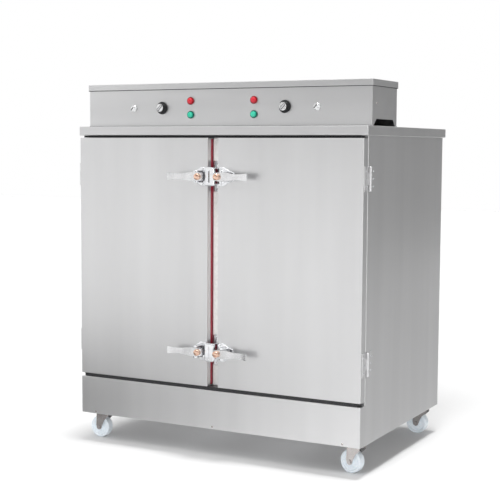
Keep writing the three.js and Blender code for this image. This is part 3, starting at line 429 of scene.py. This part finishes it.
def screws(name, places, axis, body, material, scale=1.0):
    """One piece that holds a group of screws, at their places and with their heads along an axis."""
    mesh = bmesh.new()
    for index, place in enumerate(places):
        spin = Matrix.Rotation(FIRST_TURN + NEXT_TURN * index, 4, "Z")
        single = bmesh.new()
        single.from_mesh(SCREW)
        single.transform(facing(place, axis) @ spin @ Matrix.Scale(scale, 4))
        data = bpy.data.meshes.new("screw")
        single.to_mesh(data)
        single.free()
        mesh.from_mesh(data)
        bpy.data.meshes.remove(data)
    return finish_piece(from_bmesh(name, mesh), material, body)


# Materials


def shader(name, color, roughness, metallic=0.0, **sockets):
    """A principled material. Returns it with its node tree and its shader."""
    material = bpy.data.materials.new(name)
    material.use_nodes = True
    bsdf = material.node_tree.nodes["Principled BSDF"]
    bsdf.inputs["Base Color"].default_value = (*color, 1)
    bsdf.inputs["Roughness"].default_value = roughness
    bsdf.inputs["Metallic"].default_value = metallic
    for socket, value in sockets.items():
        bsdf.inputs[socket.replace("_", " ")].default_value = value
    return material, material.node_tree, bsdf


def noise(tree, grains, detail):
    """Noise in the part's own coordinates, with its grains per metre along X, Y and Z."""
    place = tree.nodes.new("ShaderNodeTexCoord")
    mapping = tree.nodes.new("ShaderNodeMapping")
    mapping.inputs["Scale"].default_value = grains
    texture = tree.nodes.new("ShaderNodeTexNoise")
    texture.inputs["Scale"].default_value = 1.0
    texture.inputs["Detail"].default_value = detail
    texture.inputs["Roughness"].default_value = NOISE_ROUGHNESS
    tree.links.new(place.outputs["Object"], mapping.inputs["Vector"])
    tree.links.new(mapping.outputs["Vector"], texture.inputs["Vector"])
    return texture.outputs["Fac"]


def spread(tree, value, low, high, start=NOISE_START, end=NOISE_END):
    """Maps the run of a value from start to end to the range from low to high."""
    node = tree.nodes.new("ShaderNodeMapRange")
    node.inputs["From Min"].default_value = start
    node.inputs["From Max"].default_value = end
    node.inputs["To Min"].default_value = low
    node.inputs["To Max"].default_value = high
    tree.links.new(value, node.inputs["Value"])
    return node.outputs["Result"]


def tint(tree, value, dark, light):
    """Maps noise to a run between two colours."""
    ramp = tree.nodes.new("ShaderNodeValToRGB")
    ramp.color_ramp.elements[0].position = TINT_START
    ramp.color_ramp.elements[0].color = (*dark, 1)
    ramp.color_ramp.elements[1].position = TINT_END
    ramp.color_ramp.elements[1].color = (*light, 1)
    tree.links.new(value, ramp.inputs["Fac"])
    return ramp.outputs["Color"]


def bump(tree, bsdf, height, strength):
    """Roughens a surface's normals by noise."""
    node = tree.nodes.new("ShaderNodeBump")
    node.inputs["Strength"].default_value = strength
    node.inputs["Distance"].default_value = BUMP_DEPTH
    tree.links.new(height, node.inputs["Height"])
    tree.links.new(node.outputs["Normal"], bsdf.inputs["Normal"])


def brushed_steel(name, dark, light, grain, bands, rough=SHEET_ROUGHNESS):
    """Stainless sheet: fine brushed lines, and wide soft bands where the sheet isn't quite flat."""
    material, tree, bsdf = shader(name, light, PLAIN_SHEET_ROUGHNESS, metallic=1.0)
    lines = noise(tree, grain, FINE_DETAIL)
    wide = noise(tree, bands, SOFT_DETAIL)
    tree.links.new(tint(tree, wide, dark, light), bsdf.inputs["Base Color"])
    tree.links.new(spread(tree, lines, *rough), bsdf.inputs["Roughness"])
    bump(tree, bsdf, lines, BRUSH_BUMP)
    return material


def cast_metal(name, dark, light, rough, grains):
    """Plated castings and pressings, with slight blotches of so many grains per metre."""
    material, tree, bsdf = shader(name, light, rough[0], metallic=1.0)
    blotch = noise(tree, (grains, grains, grains), FINE_DETAIL)
    tree.links.new(tint(tree, blotch, dark, light), bsdf.inputs["Base Color"])
    tree.links.new(spread(tree, blotch, *rough), bsdf.inputs["Roughness"])
    bump(tree, bsdf, blotch, CAST_BUMP)
    return material


def moulded(name, dark, light, rough, grains, **sockets):
    """Plastic and rubber with a faint moulded texture of so many grains per metre."""
    material, tree, bsdf = shader(name, light, rough, **sockets)
    fine = noise(tree, (grains, grains, grains), SOFT_DETAIL)
    least, most = MOULD_VARIATION
    tree.links.new(tint(tree, fine, dark, light), bsdf.inputs["Base Color"])
    tree.links.new(spread(tree, fine, rough * least, rough * most), bsdf.inputs["Roughness"])
    bump(tree, bsdf, fine, MOULD_BUMP)
    return material


STEEL = brushed_steel(
    "brushed_sheet",
    dark=(0.71, 0.71, 0.715),
    light=(0.75, 0.75, 0.755),
    grain=GRAIN_UP,
    bands=(9, 9, 0.6),
)
STEEL_ACROSS = brushed_steel(
    "brushed_sheet_across",
    dark=(0.67, 0.67, 0.675),
    light=(0.71, 0.71, 0.715),
    grain=GRAIN_ACROSS,
    bands=(1.2, 9, 9),
)
LINER = brushed_steel(
    "liner_sheet",
    dark=(0.6, 0.6, 0.61),
    light=(0.72, 0.72, 0.73),
    grain=GRAIN_UP,
    bands=(5, 5, 1.5),
    rough=(0.32, 0.5),
)
SATIN = brushed_steel(
    "satin_lever",
    dark=(0.74, 0.74, 0.75),
    light=(0.82, 0.82, 0.83),
    grain=GRAIN_ACROSS,
    bands=(40, 40, 40),
    rough=(0.2, 0.3),
)
ANGLE_IRON = cast_metal("angle_iron", (0.4, 0.41, 0.42), (0.52, 0.53, 0.54), (0.45, 0.6), 40)
CHROME = cast_metal("chrome_plate", (0.78, 0.79, 0.81), (0.88, 0.885, 0.9), (0.05, 0.11), 90)
SATIN_CHROME = cast_metal("satin_chrome", (0.84, 0.845, 0.85), (0.92, 0.925, 0.93), (0.24, 0.32), 90)
COPPER = cast_metal("copper_cap", (0.78, 0.5, 0.38), (0.9, 0.64, 0.5), (0.16, 0.26), 120)
ZINC = cast_metal("zinc_plate", (0.5, 0.47, 0.46), (0.57, 0.54, 0.53), (0.22, 0.28), 45)
TUBE = cast_metal("element_tube", (0.2, 0.19, 0.18), (0.34, 0.32, 0.3), (0.4, 0.55), 60)
TRIM = moulded("pale_trim", (0.74, 0.76, 0.74), (0.82, 0.84, 0.82), 0.4, 90)
NYLON = moulded("white_nylon", (0.82, 0.9, 0.97), (0.9, 0.95, 0.99), 0.3, 220)
SILICONE = moulded("red_silicone", (0.36, 0.02, 0.045), (0.5, 0.035, 0.07), 0.5, 300)
# Near-black, used only for the strip below the doors: painted shade for the shadow in that gap
FOOT_GAP_SHADE = moulded("foot_gap_shade_black", (0.018, 0.018, 0.02), (0.03, 0.03, 0.032), 0.3, 300)
SEALANT = moulded("grey_sealant", (0.07, 0.07, 0.075), (0.11, 0.11, 0.115), 0.5, 300)
RED_LENS = moulded("red_lens", (0.5, 0.012, 0.03), (0.66, 0.03, 0.045), 0.12, 60)
GREEN_LENS = moulded("green_lens", (0.02, 0.46, 0.3), (0.06, 0.62, 0.42), 0.12, 60)
BLACK = moulded("black_plastic", (0.01, 0.01, 0.011), (0.02, 0.02, 0.022), 0.28, 500, **DULL)
# Darker copies of the lens colours for the lamps' rings: painted shade of the lenses' edges
RED_LENS_SHADE = moulded("red_lens_shade", (0.2, 0.008, 0.012), (0.3, 0.015, 0.02), 0.2, 60, **DULL)
GREEN_LENS_SHADE = moulded("green_lens_shade", (0.008, 0.1, 0.075), (0.015, 0.16, 0.12), 0.2, 60, **DULL)

MATERIAL_OF_SLOT = {
    "steel": STEEL,
    "liner": LINER,
    "frame": ANGLE_IRON,
    "chrome": CHROME,
    "zinc": ZINC,
    "nylon": NYLON,
    "silicone": SILICONE,
    "black": BLACK,
    "red_lens": RED_LENS,
    "green_lens": GREEN_LENS,
    "element": TUBE,
}

# Sheet metal and castings keep their CAD shape and get rounded edges

TURNED_NODES = ("timer_knob", "selector_knob", "lamp", "caster_wheel")
ACROSS_NODES = ("cabinet_top", "control_box_housing", "control_box_lid")
CAST_NODES = ("latch_", "caster_", *ACROSS_NODES)
FOLDED_NODES = ("door_left", "door_right", "skirt", "left_side", "right_side")


def finish_of(node):
    """The material of a CAD node."""
    if node in ACROSS_NODES:
        return STEEL_ACROSS
    if node.startswith("latch_lever"):
        return SATIN
    return MATERIAL_OF_SLOT[SLOT_OF[node]]


def edge_of(node):
    """How far a CAD node's edges are rounded."""
    if node.startswith(CAST_NODES):
        return CAST_EDGE
    if node.startswith(FOLDED_NODES):
        return FOLD_EDGE
    return SHEET_EDGE


for node in sorted(frame["nodes"]):
    if not node.startswith(TURNED_NODES):
        fine_copy(node, finish_of(node), edge_of(node))

# Boxes of the nodes that other pieces are placed by

box_low, box_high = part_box("control_box_housing")
lid_low, lid_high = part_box("control_box_lid")
door_low, door_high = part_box("door_left")
frame_low, frame_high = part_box("front_frame")
skirt_low, skirt_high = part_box("skirt_panel")
back_low, back_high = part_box("back_panel")
top_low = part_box("cabinet_top")[0]
DOOR_FACE = door_low.y
PANEL_FACE = box_low.y


def centre(node):
    """The middle of a node's box."""
    low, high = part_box(node)
    return (low + high) / 2


def on_panel(node):
    """The place on the control panel's face behind a node."""
    place = centre(node)
    return Vector((place.x, PANEL_FACE, place.z))


# Knobs and lamps on the control panel


def timer_knob(node):
    """A black knob with a fluted grip, and a bright cap with a pointer bar."""
    body = BODY_OF[node]
    place = on_panel(node)
    knob = turned(node + "_body", TIMER_BODY, place, FORWARD, FLUTED_SIDES, TIMER_FLUTES)
    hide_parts(node)
    finish_piece(knob, BLACK, body)
    cap = turned(node + "_cap", TIMER_CAP, place, FORWARD, CAP_SIDES)
    finish_piece(cap, SATIN_CHROME, body)
    finish_piece(pointer_bar(node + "_inlay", place, *TIMER_INLAY), BLACK, body)
    finish_piece(pointer_bar(node + "_pointer", place, *TIMER_POINTER), CHROME, body)


def selector_knob(node):
    """A satin disc with a wing grip and a black line."""
    body = BODY_OF[node]
    place = on_panel(node)
    disc = turned(node + "_disc", SELECTOR_DISC, place, FORWARD, CAP_SIDES)
    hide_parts(node)
    finish_piece(disc, SATIN_CHROME, body)
    finish_piece(pointer_bar(node + "_wing", place, *SELECTOR_WING), SATIN_CHROME, body)
    finish_piece(pointer_bar(node + "_line", place, *SELECTOR_LINE), BLACK, body)


def lamp(node, lens_material, lens_shade_material):
    """A lens with fine ribs round it, in a real ring whose colour is a darker copy of the lens
    colour: painted shade for the lens's darker edge.
    """
    place = on_panel(node)
    lens = turned(node + "_lens", LAMP_LENS, place, FORWARD, SMALL_SIDES, LENS_FLUTES)
    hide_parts(node)
    finish_piece(lens, lens_material, CABINET)
    bezel = turned(node + "_bezel", LAMP_BEZEL, place, FORWARD, SMALL_SIDES)
    finish_piece(bezel, lens_shade_material, CABINET)


for side in SIDES:
    timer_knob(f"timer_knob_{side}")
    selector_knob(f"selector_knob_{side}")
    lamp(f"lamp_red_{side}", RED_LENS, RED_LENS_SHADE)
    lamp(f"lamp_green_{side}", GREEN_LENS, GREEN_LENS_SHADE)

# Casters: the wheel has a crowned tread, ridged sides and a bearing in its hub


def ridge(start):
    """Profile pairs of one ring ridge on the wheel's web."""
    end = start + RIDGE_WIDTH
    return [
        (start, RIDGE_FOOT),
        (start + RIDGE_SLOPE, RIDGE_TOP),
        (end - RIDGE_SLOPE, RIDGE_TOP),
        (end, RIDGE_FOOT),
    ]


def caster_wheel(node):
    """A wheel that is the same on both sides, with a bearing race in each."""
    body = BODY_OF[node]
    spin = JOINT_OF[body]
    half = WHEEL_HUB + [pair for start in RIDGE_STARTS for pair in ridge(start)] + WHEEL_RIM
    profile = half + [(radius, -reach) for radius, reach in reversed(half)] + [half[0]]
    wheel = turned(node + "_tread", profile, spin["pos_m"], spin["axis"], WHEEL_SIDES)
    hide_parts(node)
    finish_piece(wheel, NYLON, body)
    for name, sign in (("inner", -1), ("outer", 1)):
        race = [(radius, sign * reach) for radius, reach in BEARING]
        bearing = turned(f"{node}_bearing_{name}", race, spin["pos_m"], spin["axis"], SMALL_SIDES)
        finish_piece(bearing, ZINC, body)


for end in ENDS:
    for side in SIDES:
        caster_wheel(f"caster_wheel_{end}_{side}")

# Latch caps


def latch_cap(row, side, sign):
    """The cap of one lever, at the height of its base."""
    lever = f"latch_lever_{row}_{side}"
    place = (sign * LATCH_CAP_X, DOOR_FACE, centre(f"latch_base_{row}_{side}").z)
    profile = [
        (0, LATCH_CAP_FOOT),
        (LATCH_CAP_RADIUS, LATCH_CAP_FOOT),
        (LATCH_CAP_RADIUS, LATCH_CAP_SHOULDER),
    ]
    profile += dome(
        LATCH_CAP_RADIUS, LATCH_CAP_SHOULDER, LATCH_CAP_TOP, LATCH_CAP_STEPS, LATCH_CAP_FULLNESS
    )
    cap = turned(f"{lever}_cap", profile, place, FORWARD, SMALL_SIDES)
    finish_piece(cap, COPPER, BODY_OF[lever])


for row in ROWS:
    for side, sign in SIDES.items():
        latch_cap(row, side, sign)

# Dark strips on the face frame, in the gaps above and below the doors: painted shade for the shadow
# in those gaps


def door_gap_shade_strip(name, low, high, setback, shade_material):
    """A dark strip between two heights, with a groove along its nose behind the doors' face, painting
    the shade in a gap.
    """
    nose = DOOR_FACE + setback
    third = (high - low) / 3
    outline = [
        (frame_low.y, low),
        (nose, low),
        (nose, low + third),
        (nose + STRIP_LIP, low + STRIP_STEP * third),
        (nose + STRIP_LIP, high - STRIP_STEP * third),
        (nose, high - third),
        (nose, high),
        (frame_low.y, high),
    ]
    strip = extrusion(name, outline, frame_low.x, frame_high.x, "X")
    finish_piece(soften(strip, STRIP_EDGE), shade_material, CABINET)


# The strip above the doors takes the black plastic colour, as painted shade for the gap under the
# cabinet top
door_gap_shade_strip(
    "door_head_shade_strip",
    door_high.z + STRIP_GAP,
    top_low.z - STRIP_GAP,
    HEAD_STRIP_SETBACK,
    BLACK,
)
door_gap_shade_strip(
    "door_foot_shade_strip",
    skirt_high.z + STRIP_GAP,
    door_low.z - STRIP_GAP,
    FOOT_STRIP_SETBACK,
    FOOT_GAP_SHADE,
)

# Trim strips on the mullion, between the latch keepers, with a slight roll along both edges

trim_face = frame_low.y - TRIM_THICKNESS
roll_top = trim_face - TRIM_RISE
trim_outline = [
    (-TRIM_HALF, frame_low.y),
    (-TRIM_HALF, trim_face),
    (-TRIM_HALF + TRIM_ROLL / 2, roll_top),
    (-TRIM_HALF + TRIM_ROLL, trim_face),
    (TRIM_HALF - TRIM_ROLL, trim_face),
    (TRIM_HALF - TRIM_ROLL / 2, roll_top),
    (TRIM_HALF, trim_face),
    (TRIM_HALF, frame_low.y),
]
trim_ends = [door_low.z]
for row in reversed(ROWS):
    trim_ends += [corner.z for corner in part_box(f"latch_keeper_{row}")]
trim_ends.append(door_high.z)
for name, low, high in zip(("low", "middle", "high"), trim_ends[::2], trim_ends[1::2]):
    trim = extrusion(f"mullion_trim_{name}", trim_outline, low + TRIM_GAP, high - TRIM_GAP, "Z")
    finish_piece(soften(trim, FINE_EDGE), TRIM, CABINET)

# A dark strip under the rim of the control box's lid: painted shade for the shadow line under the rim


def lid_rim_shade_strip():
    """A flat dark ring between the box's walls and the lid's outer faces, painting the shade under
    the lid's rim.
    """
    inset = Vector((LID_SHADE_INSET, LID_SHADE_INSET, 0))
    mesh = bmesh.new()
    loops = []
    for z in (lid_low.z - LID_SHADE_HEIGHT, lid_low.z):
        for low, high in ((lid_low + inset, lid_high - inset), (box_low, box_high)):
            corners = ((low.x, low.y), (high.x, low.y), (high.x, high.y), (low.x, high.y))
            loops.append([mesh.verts.new((x, y, z)) for x, y in corners])
    for first, second in ((0, 1), (1, 3), (3, 2), (2, 0)):
        for i in range(4):
            j = (i + 1) % 4
            mesh.faces.new((loops[first][i], loops[first][j], loops[second][j], loops[second][i]))
    bmesh.ops.recalc_face_normals(mesh, faces=mesh.faces)
    return soften(from_bmesh("lid_rim_shade_strip", mesh), LID_SHADE_EDGE)


finish_piece(lid_rim_shade_strip(), BLACK, CABINET)

# Beads of sealant along the control box's foot

for name, wall, reach in (
    ("box_foot_bead_front", box_low.y, -BEAD_REACH),
    ("box_foot_bead_rear", box_high.y, BEAD_REACH),
):
    outline = [
        (wall, box_low.z),
        (wall + reach, box_low.z),
        (wall + BEAD_SHOULDER[0] * reach, box_low.z + BEAD_SHOULDER[1] * BEAD_HEIGHT),
        (wall, box_low.z + BEAD_HEIGHT),
    ]
    bead = extrusion(name, outline, box_low.x, box_high.x, "X")
    finish_piece(soften(bead, FINE_EDGE), SEALANT, CABINET)

# Screws, on the plane that each group holds


def sheet_screws(name, places, axis):
    """Zinc screws in the cabinet's own sheets."""
    screws(name, places, axis, CABINET, ZINC)


def keeper_screws(row):
    """Two screws, below and above a keeper's middle."""
    low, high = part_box(f"latch_keeper_{row}")
    middle = (low.z + high.z) / 2
    places = [
        (0, high.y - KEEPER_FLANGE, middle + rise)
        for rise in (-KEEPER_SCREW_RISE, KEEPER_SCREW_RISE)
    ]
    screws(f"keeper_screws_{row}", places, FORWARD, CABINET, CHROME, KEEPER_SCREW)


def latch_screws(row, side, sign):
    """Two screws on a latch base's plate."""
    base = f"latch_base_{row}_{side}"
    height = centre(base).z
    places = [
        (sign * LATCH_SCREW_X, DOOR_FACE - LATCH_PLATE, height + rise)
        for rise in (-LATCH_SCREW_RISE, LATCH_SCREW_RISE)
    ]
    screws(f"{base}_screws", places, FORWARD, BODY_OF[base], CHROME, LATCH_SCREW)


def hinge_screws(row, side, sign):
    """Three screws on each leaf of a hinge."""
    hinge_x, hinge_y = JOINT_OF[f"{side}_door"]["pos_m"][:2]
    for leaf, reach in LEAF_SCREW_Y.items():
        node = f"hinge_{leaf}_leaf_{row}_{side}"
        places = [
            (hinge_x - sign * LEAF_INSET, hinge_y + reach, centre(node).z + rise)
            for rise in LEAF_SCREW_RISES
        ]
        body = BODY_OF[node]
        screws(f"{node}_screws", places, (sign, 0, 0), body, CHROME, LEAF_SCREW)


sheet_screws(
    "skirt_screws",
    [(x, skirt_low.y, skirt_low.z + SKIRT_SCREW_RISE) for x in SKIRT_SCREW_X],
    FORWARD,
)

for row in ROWS:
    keeper_screws(row)
    for side, sign in SIDES.items():
        latch_screws(row, side, sign)
        hinge_screws(row, side, sign)

for side, sign in SIDES.items():
    end_face = box_high.x if sign > 0 else box_low.x
    place = (end_face, box_low.y + BOX_END_SCREW_Y, box_low.z + BOX_END_SCREW_RISE)
    sheet_screws(f"box_end_screws_{side}", [place], (sign, 0, 0))

back_columns = (back_low.x + BACK_SCREW_INSET, 0, back_high.x - BACK_SCREW_INSET)
back_rows = (
    back_low.z + BACK_SCREW_LOW,
    (back_low.z + back_high.z) / 2,
    back_high.z - BACK_SCREW_HIGH,
)
sheet_screws(
    "back_panel_screws",
    [(x, back_high.y, z) for x in back_columns for z in back_rows],
    BACKWARD,
)

box_columns = (box_low.x + BOX_REAR_SCREW_INSET, 0, box_high.x - BOX_REAR_SCREW_INSET)
sheet_screws(
    "control_box_rear_screws",
    [(x, box_high.y, box_low.z + BOX_REAR_SCREW_RISE) for x in box_columns],
    BACKWARD,
)

# Stage: a white floor and background, soft suns, a softbox, and grey cards for the metal


def background_rays(tree):
    """1 for the rays that see the background itself: the camera's, and those off metal and glass."""
    path = tree.nodes.new("ShaderNodeLightPath")
    either = path.outputs["Is Camera Ray"]
    for name in ("Is Glossy Ray", "Is Transmission Ray"):
        largest = tree.nodes.new("ShaderNodeMath")
        largest.operation = "MAXIMUM"
        tree.links.new(either, largest.inputs[0])
        tree.links.new(path.outputs[name], largest.inputs[1])
        either = largest.outputs["Value"]
    return either


def white_floor():
    """Diffuse white that keeps the object's shadow, lifted a little for the background's rays."""
    material, tree, bsdf = shader(
        "floor_white", FLOOR_COLOR, FLOOR_ROUGHNESS, Specular_IOR_Level=0.0, Emission_Color=WHITE
    )
    lift = tree.nodes.new("ShaderNodeMath")
    lift.operation = "MULTIPLY"
    lift.inputs[1].default_value = FLOOR_LIFT
    tree.links.new(background_rays(tree), lift.inputs[0])
    tree.links.new(lift.outputs["Value"], bsdf.inputs["Emission Strength"])
    return material


def floor():
    """A wide plain floor at height 0."""
    mesh = bmesh.new()
    bmesh.ops.create_grid(mesh, x_segments=4, y_segments=4, size=FLOOR_SIZE / 2)
    piece = from_bmesh("floor", mesh)
    piece.data.materials.append(white_floor())


def world():
    """Plain white for the background's rays, and a paler light from all sides on what is matt."""
    scene_world = bpy.data.worlds.new("studio")
    bpy.context.scene.world = scene_world
    scene_world.use_nodes = True
    tree = scene_world.node_tree
    background = tree.nodes["Background"]
    background.inputs["Color"].default_value = WHITE
    strength = spread(tree, background_rays(tree), SKY_LIGHT, 1.0, start=0.0, end=1.0)
    tree.links.new(strength, background.inputs["Strength"])


def aim(piece, place, target):
    """Puts a lamp or card at a place and turns its front to a target."""
    piece.location = place
    piece.rotation_euler = (Vector(target) - Vector(place)).to_track_quat("-Z", "Y").to_euler()


def lamp_object(name, light, place, target):
    """Puts a light in the scene, at a place and aimed at a target."""
    piece = bpy.data.objects.new(name, light)
    bpy.context.scene.collection.objects.link(piece)
    aim(piece, place, target)
    return piece


def softbox(name, place, width, height, radiance):
    """An area light, aimed at the cabinet, with the given brightness seen straight on."""
    light = bpy.data.lights.new(name, "AREA")
    light.shape = "RECTANGLE"
    light.size = width
    light.size_y = height
    light.energy = radiance * math.pi * width * height
    lamp_object(name, light, place, CABINET_MIDDLE)


def sun(name, side, strength, softness, on_metal=True):
    """A soft sun that shines from one side towards the origin, on all surfaces or on matt ones."""
    light = bpy.data.lights.new(name, "SUN")
    light.energy = strength
    light.angle = math.radians(softness)
    lamp_object(name, light, side, (0, 0, 0)).visible_glossy = on_metal


def card(name, place, target, size, axis, start, end, first, last):
    """A grey card that only the metal reflects.

    Its brightness runs from first to last between two places along its X or Y, or with the
    distance from its middle for R.
    """
    mesh = bmesh.new()
    bmesh.ops.create_grid(mesh, x_segments=2, y_segments=2, size=0.5)
    mesh.transform(Matrix.Diagonal((*size, 1, 1)))
    piece = from_bmesh(name, mesh)
    aim(piece, place, target)
    material = bpy.data.materials.new(name)
    material.use_nodes = True
    tree = material.node_tree
    tree.nodes.clear()
    place_on_card = tree.nodes.new("ShaderNodeTexCoord").outputs["Object"]
    if axis == "R":
        length = tree.nodes.new("ShaderNodeVectorMath")
        length.operation = "LENGTH"
        tree.links.new(place_on_card, length.inputs[0])
        along = length.outputs["Value"]
    else:
        split = tree.nodes.new("ShaderNodeSeparateXYZ")
        tree.links.new(place_on_card, split.inputs["Vector"])
        along = split.outputs[axis]
    glow = tree.nodes.new("ShaderNodeEmission")
    tree.links.new(spread(tree, along, first, last, start, end), glow.inputs["Strength"])
    output = tree.nodes.new("ShaderNodeOutputMaterial")
    tree.links.new(glow.outputs["Emission"], output.inputs["Surface"])
    piece.data.materials.append(material)
    piece.visible_camera = False
    piece.visible_diffuse = False
    piece.visible_shadow = False


def camera():
    """The photograph's camera, with its slight roll."""
    azimuth = math.radians(CAMERA_AZIMUTH)
    pitch = math.radians(CAMERA_PITCH)
    roll = math.radians(CAMERA_ROLL)
    look = Vector(
        (-math.sin(azimuth) * math.cos(pitch), math.cos(azimuth) * math.cos(pitch), -math.sin(pitch))
    )
    level = Vector((math.cos(azimuth), math.sin(azimuth), 0))
    upright = level.cross(look)
    right = level * math.cos(roll) + upright * math.sin(roll)
    up = upright * math.cos(roll) - level * math.sin(roll)
    turn = Matrix((right, up, -look)).transposed().to_4x4()
    data = bpy.data.cameras.new("camera")
    data.sensor_width = SENSOR_MM
    data.lens = SENSOR_MM * FOCAL_PIXELS / PICTURE_PIXELS
    piece = bpy.data.objects.new("camera", data)
    bpy.context.scene.collection.objects.link(piece)
    piece.matrix_world = Matrix.Translation(CAMERA_PLACE) @ turn
    bpy.context.scene.camera = piece


floor()
world()
camera()
sun("overhead", side=(0.6, -0.1, 8), strength=1.75, softness=11)
sun("overhead_front", side=(0.6, -4.5, 8), strength=0.8, softness=20, on_metal=False)
sun("front", side=(-0.3, -4, 4), strength=0.5, softness=30)
sun("fill", side=(1.2, -4, 0.2), strength=1.0, softness=12, on_metal=False)
softbox("edge_light", place=(4.4, -2.6, 1.3), width=0.7, height=2.2, radiance=1.2)
card(
    "card_high",
    place=(-0.9, -4.8, 2.35),
    target=(-0.9, 0, 2.35),
    size=(4.6, 2.3),
    axis="Y",
    start=-1.15,
    end=-0.5,
    first=0.8,
    last=0.03,
)
card(
    "card_low",
    place=(-1.3, -0.85, 0.004),
    target=(-1.3, -0.85, -1),
    size=(3.2, 2.2),
    axis="R",
    start=0.4,
    end=1.5,
    first=0.14,
    last=1.0,
)
card(
    "card_side",
    place=(2.4, 5.0, 1.9),
    target=(0.5, 5.0, 1.9),
    size=(9.0, 3.8),
    axis="X",
    start=-4.5,
    end=-1.0,
    first=0.44,
    last=0.21,
)
card(
    "card_side_low",
    place=(1.5, 2.0, 0.004),
    target=(1.5, 2.0, -1),
    size=(1.8, 4.6),
    axis="X",
    start=-0.9,
    end=0.9,
    first=0.57,
    last=0.57,
)
card(
    "card_camera",
    place=(2.9, -5.2, 1.3),
    target=CABINET_MIDDLE,
    size=(1.8, 2.6),
    axis="X",
    start=-0.9,
    end=0.9,
    first=0.05,
    last=0.05,
)
bpy.context.scene.view_settings.view_transform = "Standard"
